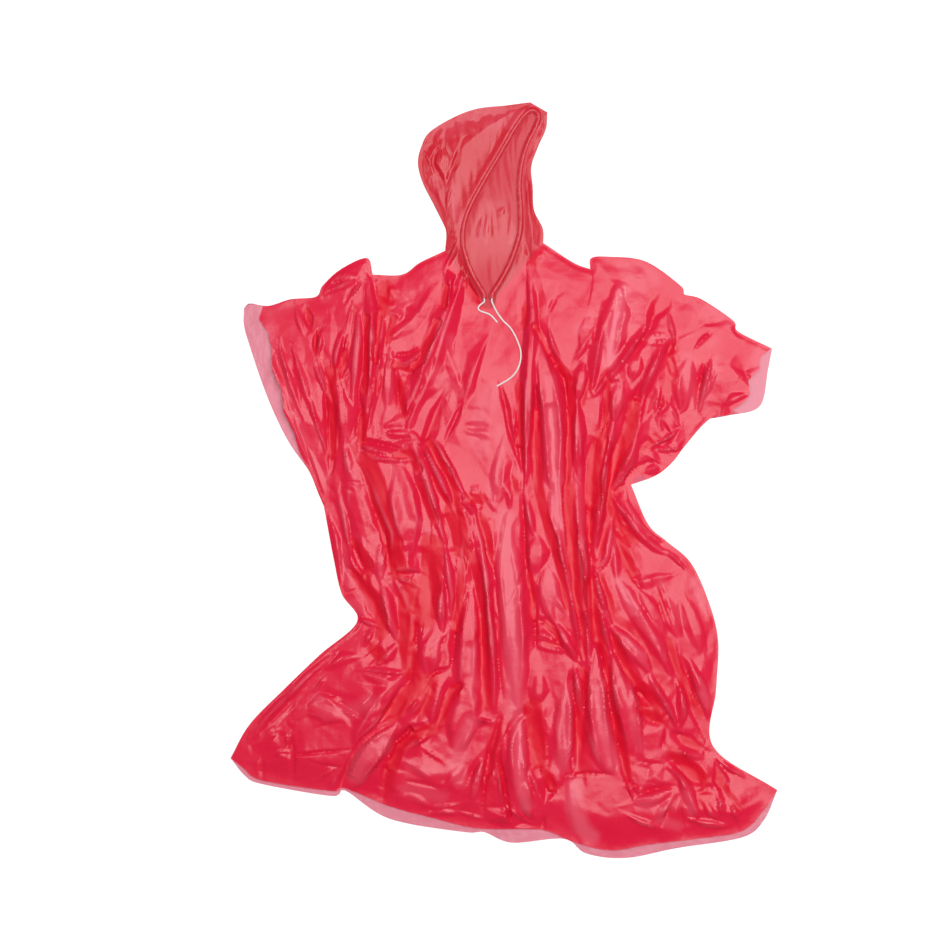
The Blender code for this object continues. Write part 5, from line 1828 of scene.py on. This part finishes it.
# ------------------------------------------------------------------------ sleeves
@dataclass
class Sleeve:
    """A flat tube of film, open at the armhole and at the cuff."""

    top: UpperFilm
    name: str
    node: str
    top_edge: list[Mark]
    cuff: list[Mark]
    under_edge: list[Mark]
    armhole: list[Mark]
    side: int
    cuff_insets: list[tuple[float, float]]
    flat: tuple[float, float]
    layer_cells: int = 110
    length_cells: int = 110
    fold_cells: int = 4
    inward: float = 0.03

    def __post_init__(self) -> None:
        """Lay out the sleeve's plan."""
        armhole = Line.through(self.armhole).beside(self.side * FILM.armhole_gap)
        cuff, top_edge, under_edge = map(Line.through, (self.cuff, self.top_edge, self.under_edge))
        self.plan = Panel(armhole, cuff, top_edge, under_edge)
        self.ring = 2 * (self.layer_cells + self.fold_cells)

    def places(self, u: np.ndarray) -> tuple[np.ndarray, np.ndarray, np.ndarray]:
        """Where points round the tube lie: the lower layer first, then the upper layer backwards.

        Args:
            u: Shares of the way round.

        Returns:
            Shares across the sleeve from its top fold, how far each point has turned from the
            lower layer to the upper one, and which points are on the upper layer.
        """
        step = np.round(u * self.ring) % self.ring
        on_lower = step <= self.layer_cells
        on_upper = (step >= self.layer_cells + self.fold_cells) & (step <= self.ring - self.fold_cells)
        at_under = ~on_lower & ~on_upper & (step < self.ring / 2)
        at_top = ~on_lower & ~on_upper & ~at_under
        share = np.where(on_lower, step / self.layer_cells, 0.0)
        share = np.where(on_upper, (self.ring - self.fold_cells - step) / self.layer_cells, share)
        share = np.where(at_under, 1.0, share)
        turn = np.where(on_upper, 1.0, 0.0)
        turn = np.where(at_under, (step - self.layer_cells) / self.fold_cells, turn)
        turn = np.where(at_top, (self.ring - step) / self.fold_cells, turn)
        return share, turn, on_upper

    def shape(self, u: np.ndarray, v: np.ndarray) -> Drape:
        """The lower layer, round the under fold, the upper layer and round the top fold.

        Args:
            u: Shares of the way round.
            v: Shares from the armhole to the cuff.

        Returns:
            The sheet.
        """
        share, turn, on_upper = self.places(u)
        inset_shares, insets = np.array(self.cuff_insets).T
        length = np.linalg.norm(
            self.plan.at(share, np.ones(len(v))) - self.plan.at(share, np.zeros(len(v))), axis=1)
        down = v * (1.0 - turn * np.interp(share, inset_shares, insets * MM) / length)
        point = self.plan.at(share, down)
        bulge = fold_outward(point, self.plan.at(np.abs(share - self.inward), down), turn)
        over = self.top.at(point, FILM.tuck)
        under_level = self.top.under_level(point)
        point = np.where(on_upper[:, None], over.points[:, :2], point) + bulge
        level = under_level + (over.points[:, 2] - under_level) * turn
        # the upper layer carries the top surface's painted shade and painted highlight
        return Drape(np.column_stack((point, level)), over.painted_shade * on_upper, over.painted_highlight * on_upper)

    def build(self, upper: bpy.types.Material, lower: bpy.types.Material) -> None:
        """Make the sleeve.

        Args:
            upper: The upper layer's material.
            lower: The lower layer's material, which shows along the cuff.
        """
        piece = film_grid(self.name, self.ring, self.length_cells, self.shape, closed=True)
        dress(piece, upper, Slot.FILM, self.node)
        if self.side < 0:
            piece.data.flip_normals()
        add_second_ply(piece, lower, lambda face: face.normal.z < 0.0)


# --------------------------------------------------------------------------- hood
@dataclass
class Hood:
    """Two halves sealed along the back of the head, with the drawstring's channel at the face.

    The stretches are shares of the channel's length, from its left mouth round to its right.
    """

    top: UpperFilm
    station_cells: int = 150
    near_cells: int = 90
    back_cells: int = 80
    band_cells: int = 60
    fold_cells: int = 4
    near_stretch: tuple[float, float] = (0.0, 0.49)
    far_stretch: tuple[float, float] = (1.0, 0.58)
    lens_stretches: tuple[tuple[float, float], ...] = ((0.0, 0.48), (1.0, 0.56))
    lens_edge: float = 10 * MM
    # the lining's painted shade lies above an arch with this top, middle, drop, half width, fade and
    # strength
    lens_top: float = 405 * MM
    lens_middle: float = -16 * MM
    arch_drop: float = 22 * MM
    arch_half_width: float = 25 * MM
    arch_fade: float = 24 * MM
    arch_depth: float = 0.8
    raised_from: float = 358 * MM
    raised_creases: float = 0.6
    raised_pleats: float = 1.8
    inward_of: float = 0.9

    def __post_init__(self) -> None:
        """Lay out the lines that the halves share."""
        self.back_seam = Line.through(HOOD_BACK_SEAM)
        self.front_fold = Line.through(HOOD_FRONT_FOLD)
        self.channel = Line.through(CASING_ROUTE)
        self.lining_creases = CreaseField(LENS_FILM)
        self.far_columns = self.back_cells + self.fold_cells + self.band_cells

    @staticmethod
    def crown(first: Line, second: Line) -> Line:
        """The straight line between the top ends of two lines."""
        return Line(np.vstack((first.at(np.ones(1)), second.at(np.ones(1)))))

    def near_shape(self) -> Shape:
        """The half on top, from the back seam to the channel.

        Returns:
            The shape.
        """
        edge = self.channel.between(*self.near_stretch).beside(CHANNEL.half_width - CHANNEL.lap)
        neck = Line.through(NECKLINE_LEFT).beside(FILM.seam_gap)
        plan = Panel(neck, self.crown(self.back_seam, edge), self.back_seam, edge)

        def shape(u: np.ndarray, v: np.ndarray) -> Drape:
            """The top surface over the half's own plan."""
            return self.top.at(plan.at(u, v), FILM.tuck)

        return shape

    def far_shape(self) -> Shape:
        """The half on the surface, folded round at its front so that its edge lies on top.

        Returns:
            The shape.
        """
        edge = self.channel.between(*self.far_stretch).beside(CHANNEL.lap - CHANNEL.half_width)
        lower = Panel(Line.through(NECKLINE_BACK).beside(FILM.seam_gap),
                      self.crown(self.back_seam, self.front_fold), self.back_seam, self.front_fold)
        band = Panel(Line.through(NECKLINE_RIGHT[::-1]).beside(-FILM.seam_gap),
                     self.crown(self.front_fold, edge), self.front_fold, edge)

        def shape(u: np.ndarray, v: np.ndarray) -> Drape:
            """The sheet on the surface, its fold and the band on top.

            Args:
                u: Shares from the back seam round the front fold to the channel.
                v: Shares from the neck to the crown.

            Returns:
                The sheet.
            """
            step = np.round(u * self.far_columns)
            on_band = step >= self.back_cells + self.fold_cells
            turn = np.clip((step - self.back_cells) / self.fold_cells, 0.0, 1.0)
            under = lower.at(np.clip(step / self.back_cells, 0.0, 1.0), v)
            on_top = (step - self.back_cells - self.fold_cells) / self.band_cells
            over = band.at(np.clip(on_top, 0.0, 1.0), v)
            point = np.where(on_band[:, None], over, under)
            point = point + fold_outward(under, lower.at(np.full(len(v), self.inward_of), v), turn)
            upper = self.top.at(point, FILM.tuck)
            inner = self.lining_creases.at(point)
            raised = self.lens(point) * smoothstep((point[:, 1] - self.raised_from) / FILM.pleat_fade)
            under_level = self.top.under_level(point + FILM.under_offset)
            under_level = under_level + self.raised_creases * np.maximum(inner.height, 0.0) * raised
            under_level = under_level + self.raised_pleats * np.abs(self.top.pleats.at(point)) * raised
            level = under_level + (upper.points[:, 2] - under_level) * turn
            # the band keeps the top surface's painted shade and highlight; the lining gets painted shade
            # above the arch and painted highlights along its creases
            painted_shade = np.where(on_band, upper.painted_shade, self.shading(point))
            return Drape(np.column_stack((point, level)), painted_shade, np.where(on_band, upper.painted_highlight, inner.painted_highlight))

        return shape

    def shading(self, points: np.ndarray) -> np.ndarray:
        """How much painted shade the lining has at plan points: the shade lies above an arch over the face.

        Args:
            points: Plan points in metres.

        Returns:
            Shares of the deep colour.
        """
        away = (points[:, 0] - self.lens_middle) / self.arch_half_width
        arch = self.lens_top - self.arch_drop * away ** 2
        return self.arch_depth * smoothstep((points[:, 1] - arch) / self.arch_fade)

    def lens(self, points: np.ndarray) -> np.ndarray:
        """How far plan points lie inside the face opening.

        Args:
            points: Plan points in metres.

        Returns:
            0 at the opening's channel and outside it, and 1 inside.
        """
        left, right = (self.channel.between(*stretch).points for stretch in self.lens_stretches)
        inside = np.minimum(points[:, 0] - np.interp(points[:, 1], left[:, 1], left[:, 0]),
                            np.interp(points[:, 1], right[:, 1], right[:, 0]) - points[:, 0])
        return smoothstep((inside - CHANNEL.half_width) / self.lens_edge)

    def channel_shape(self, u: np.ndarray, v: np.ndarray) -> Drape:
        """The drawstring's channel: an oval tube, gathered along the cord.

        Args:
            u: Shares of the way round the tube.
            v: Shares of the channel's length.

        Returns:
            The sheet.
        """
        turn = 2 * math.pi * u
        drift = CHANNEL.drift * np.sin(2 * math.pi * CHANNEL.drifts * v)
        gathers = 1.0 + CHANNEL.gather_depth * np.sin(2 * math.pi * CHANNEL.gathers * v + drift)
        width = CHANNEL.half_width * (1.0 - CHANNEL.gather_width + CHANNEL.gather_width * gathers)
        sideways = self.channel.right_hand(v) * (width * np.cos(turn))[:, None]
        height = CHANNEL.half_height * gathers * np.sin(turn) ** 3
        points = np.column_stack((self.channel.at(v) + sideways, cord_level(v) + height))
        return Drape(points, np.zeros(len(u)), np.zeros(len(u)))

    def build(self, upper: bpy.types.Material, hem: bpy.types.Material) -> None:
        """Make the two halves and the channel.

        Args:
            upper: The halves' material.
            hem: The channel's material.
        """
        far = film_grid("hood_far", self.far_columns, self.station_cells, self.far_shape())
        dress(far, upper, Slot.FILM, "hood_far_half")
        near = film_grid("hood_near", self.near_cells, self.station_cells, self.near_shape())
        near.data.flip_normals()
        dress(near, upper, Slot.FILM, "hood_near_half")
        channel = film_grid("hood_channel", CHANNEL.ring_cells, CHANNEL.length_cells, self.channel_shape,
                            closed=True)
        dress(channel, hem, Slot.HEM, "hood_casing")


# --------------------------------------------------------------------- drawstring
@dataclass
class Drawstring:
    """The cord: hidden in its channel, and free at both ends."""

    front: bpy.types.Object
    material: bpy.types.Material
    channel_points: int = 78
    bevel_resolution: int = 3
    reach: int = 2
    smoothing: int = 3
    drop: float = 0.2

    def curve(self, name: str, points: np.ndarray, *nodes: str) -> bpy.types.Object:
        """A round cord along its points.

        Args:
            name: The piece's name.
            points: Rows of three coordinates in metres.
            *nodes: The CAD nodes that it stands for.

        Returns:
            The piece.
        """
        data = bpy.data.curves.new(name, "CURVE")
        data.dimensions = "3D"
        data.bevel_depth = CORD.diameter / 2
        data.bevel_resolution = self.bevel_resolution
        data.use_fill_caps = True
        spline = data.splines.new("POLY")
        spline.points.add(len(points) - 1)
        for knot, point in zip(spline.points, points):
            knot.co = (*point, 1.0)
        piece = bpy.data.objects.new(name, data)
        bpy.context.scene.collection.objects.link(piece)
        dress(piece, self.material, Slot.CORD, *nodes)
        return piece

    def free_end(self, name: str, route: list[Mark], node: str, length: float) -> None:
        """A free end: out of its mouth, up onto the front and along its folds.

        Args:
            name: The piece's name.
            route: The end's route in plan.
            node: The CAD node that it stands for.
            length: Its real length in metres; not used.
        """
        line = Line.through(route)
        shares = np.linspace(0.0, 1.0, math.ceil(line.length / CORD.diameter) + 1)
        plan = line.at(shares)
        ground = np.array([self.ground(point) for point in plan])
        ground = np.array([
            ground[max(0, index - self.reach):index + self.reach + 1].max() for index in range(len(plan))])
        window = np.full(2 * self.smoothing + 1, 1.0 / (2 * self.smoothing + 1))
        ground = np.convolve(np.pad(ground, self.smoothing, mode="edge"), window, mode="valid")
        settled = smoothstep(shares * line.length / CORD.settling)
        resting = np.maximum(ground + CORD.rest_gap + CORD.diameter / 2, CORD.level)
        points = np.column_stack((plan, CORD.level + (resting - CORD.level) * settled))
        piece = self.curve(name, points, node)

    def ground(self, point: np.ndarray) -> float:
        """Height of the front under a plan point."""
        hit, place, _, _ = self.front.ray_cast(Vector((point[0], point[1], self.drop)), Vector((0, 0, -1)))
        return place.z if hit else 0.0

    def build(self) -> None:
        """Make the hidden stretch and both free ends."""
        shares = np.linspace(0.0, 1.0, self.channel_points)
        hidden = np.column_stack((Line.through(CASING_ROUTE).at(shares), cord_level(shares)))
        self.curve("drawstring_hidden", hidden, "drawstring_in_casing")
        self.free_end("drawstring_left", LEFT_END_ROUTE, "drawstring_left_end", CORD.left_length)
        self.free_end("drawstring_right", RIGHT_END_ROUTE, "drawstring_right_end", CORD.right_length)


# ------------------------------------------------------------------------- studio
WHITE = (1.0, 1.0, 1.0, 1.0)


@dataclass(frozen=True)
class Studio:
    """The camera straight above, a big soft light over it, two small lights and a white floor."""

    centre: Mark = Mark(-43.5, 7.5)
    field_width: float = 1.425
    lens: float = 85.0
    sensor: float = 36.0
    softbox_place: tuple[float, float, float] = (0.8, 0.45, 4.4)
    softbox_size: float = 3.2
    softbox_power: float = 190.0
    world_light: float = 0.2
    glint_size: float = 0.5
    glint_power: float = 31.0
    glint_places: dict[str, tuple[float, float, float]] = field(default_factory=lambda: {
        "glint_left": (-2.6, 1.2, 4.2), "glint_right": (2.4, 1.8, 4.2)})
    floor_size: float = 30.0

    def camera(self) -> None:
        """Look straight down with the photograph's frame."""
        data = bpy.data.cameras.new("camera")
        data.lens, data.sensor_width = self.lens, self.sensor
        camera = bpy.data.objects.new("camera", data)
        distance = self.lens / self.sensor * self.field_width
        camera.location = (self.centre.across * MM, self.centre.up * MM, distance)
        bpy.context.scene.collection.objects.link(camera)
        bpy.context.scene.camera = camera

    def area_light(self, name: str, size: float, power: float, place: Sequence[float]) -> bpy.types.Object:
        """Add a flat light that shines straight down.

        Args:
            name: Its name.
            size: Its width in metres.
            power: Its power in watts.
            place: Its place in metres.

        Returns:
            The light.
        """
        data = bpy.data.lights.new(name, "AREA")
        data.size = size
        data.energy = power
        light = bpy.data.objects.new(name, data)
        light.location = place
        bpy.context.scene.collection.objects.link(light)
        return light

    def lights(self) -> None:
        """A softbox overhead, two small lights that make glints, and a pale world."""
        softbox = self.area_light("softbox", self.softbox_size, self.softbox_power, self.softbox_place)
        softbox.data.shape = "DISK"
        for name, place in self.glint_places.items():
            glint = self.area_light(name, self.glint_size, self.glint_power, place)
            glint.rotation_euler = Vector(place).to_track_quat("Z", "Y").to_euler()
        world = bpy.data.worlds.new("studio")
        world.use_nodes = True
        background = world.node_tree.nodes["Background"]
        background.inputs["Strength"].default_value = self.world_light
        background.inputs["Color"].default_value = WHITE
        bpy.context.scene.world = world

    def floor(self) -> None:
        """A plain white floor."""
        bpy.ops.object.select_all(action="DESELECT")
        bpy.ops.mesh.primitive_plane_add(size=self.floor_size, location=(0, 0, 0))
        plane = bpy.context.active_object
        plane.name = "floor"
        material = bpy.data.materials.new("white floor")
        material.use_nodes = True
        shader = material.node_tree.nodes["Principled BSDF"]
        shader.inputs["Base Color"].default_value = WHITE
        shader.inputs["Roughness"].default_value = 0.9
        shader.inputs["Specular IOR Level"].default_value = 0.0
        plane.data.materials.append(material)
        plane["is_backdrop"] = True
        plane.select_set(False)

    def build(self) -> None:
        """Set up the studio."""
        self.camera()
        self.lights()
        self.floor()
        bpy.context.scene.view_settings.view_transform = "Standard"


def write_sizes() -> None:
    """Measure the CAD box and the visual model's box; nothing is kept or compared."""
    boxes = {"cad": CAD_BOX, "visual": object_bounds()}
    {name: [list(corner) for corner in box] for name, box in boxes.items()}


def main() -> None:
    """Build the studio, then the garment, piece by piece."""
    logging.basicConfig(level=logging.INFO, format="%(name)s: %(message)s")
    Studio().build()
    upper = FilmFinish("red film").build()
    # the hood's film, with its own colour of painted shade
    hood = FilmFinish("red film, thicker", (0.57, 0.004, 0.020), (0.59, 0.020, 0.036),
                      painted_shade_colour=(0.56, 0.0, 0.020)).build()
    lower = FilmFinish("red film, one ply", (0.60, 0.012, 0.09), (0.72, 0.07, 0.17), cover=0.60,
                       crush=0.25).build()
    hem = FilmFinish("red film, sealed hem", (0.56, 0.008, 0.024), (0.57, 0.02, 0.036)).build()
    white = CordFinish("white cord").build()
    top = UpperFilm()
    front = Body(top).build(upper, lower, hood)
    log.info("back and front made, with %d faces in the front", len(front.data.polygons))
    Sleeve(top, "sleeve_left_film", "sleeve_left", SLEEVE_LEFT_TOP, SLEEVE_LEFT_CUFF, SLEEVE_LEFT_UNDER,
           ARMHOLE_LEFT, -1, LEFT_INSETS, flat=(0.56, 0.15)).build(upper, lower)
    log.info("left sleeve made")
    Sleeve(top, "sleeve_right_film", "sleeve_right", SLEEVE_RIGHT_TOP, SLEEVE_RIGHT_CUFF,
           SLEEVE_RIGHT_UNDER, ARMHOLE_RIGHT, 1, RIGHT_INSETS, flat=(0.56, 0.20)).build(upper, lower)
    log.info("right sleeve made")
    Hood(top).build(hood, hem)
    log.info("hood's two halves and channel made")
    Drawstring(front, white).build()
    log.info("drawstring made: hidden stretch and two free ends")
    write_sizes()


if __name__ == "__main__":
    main()
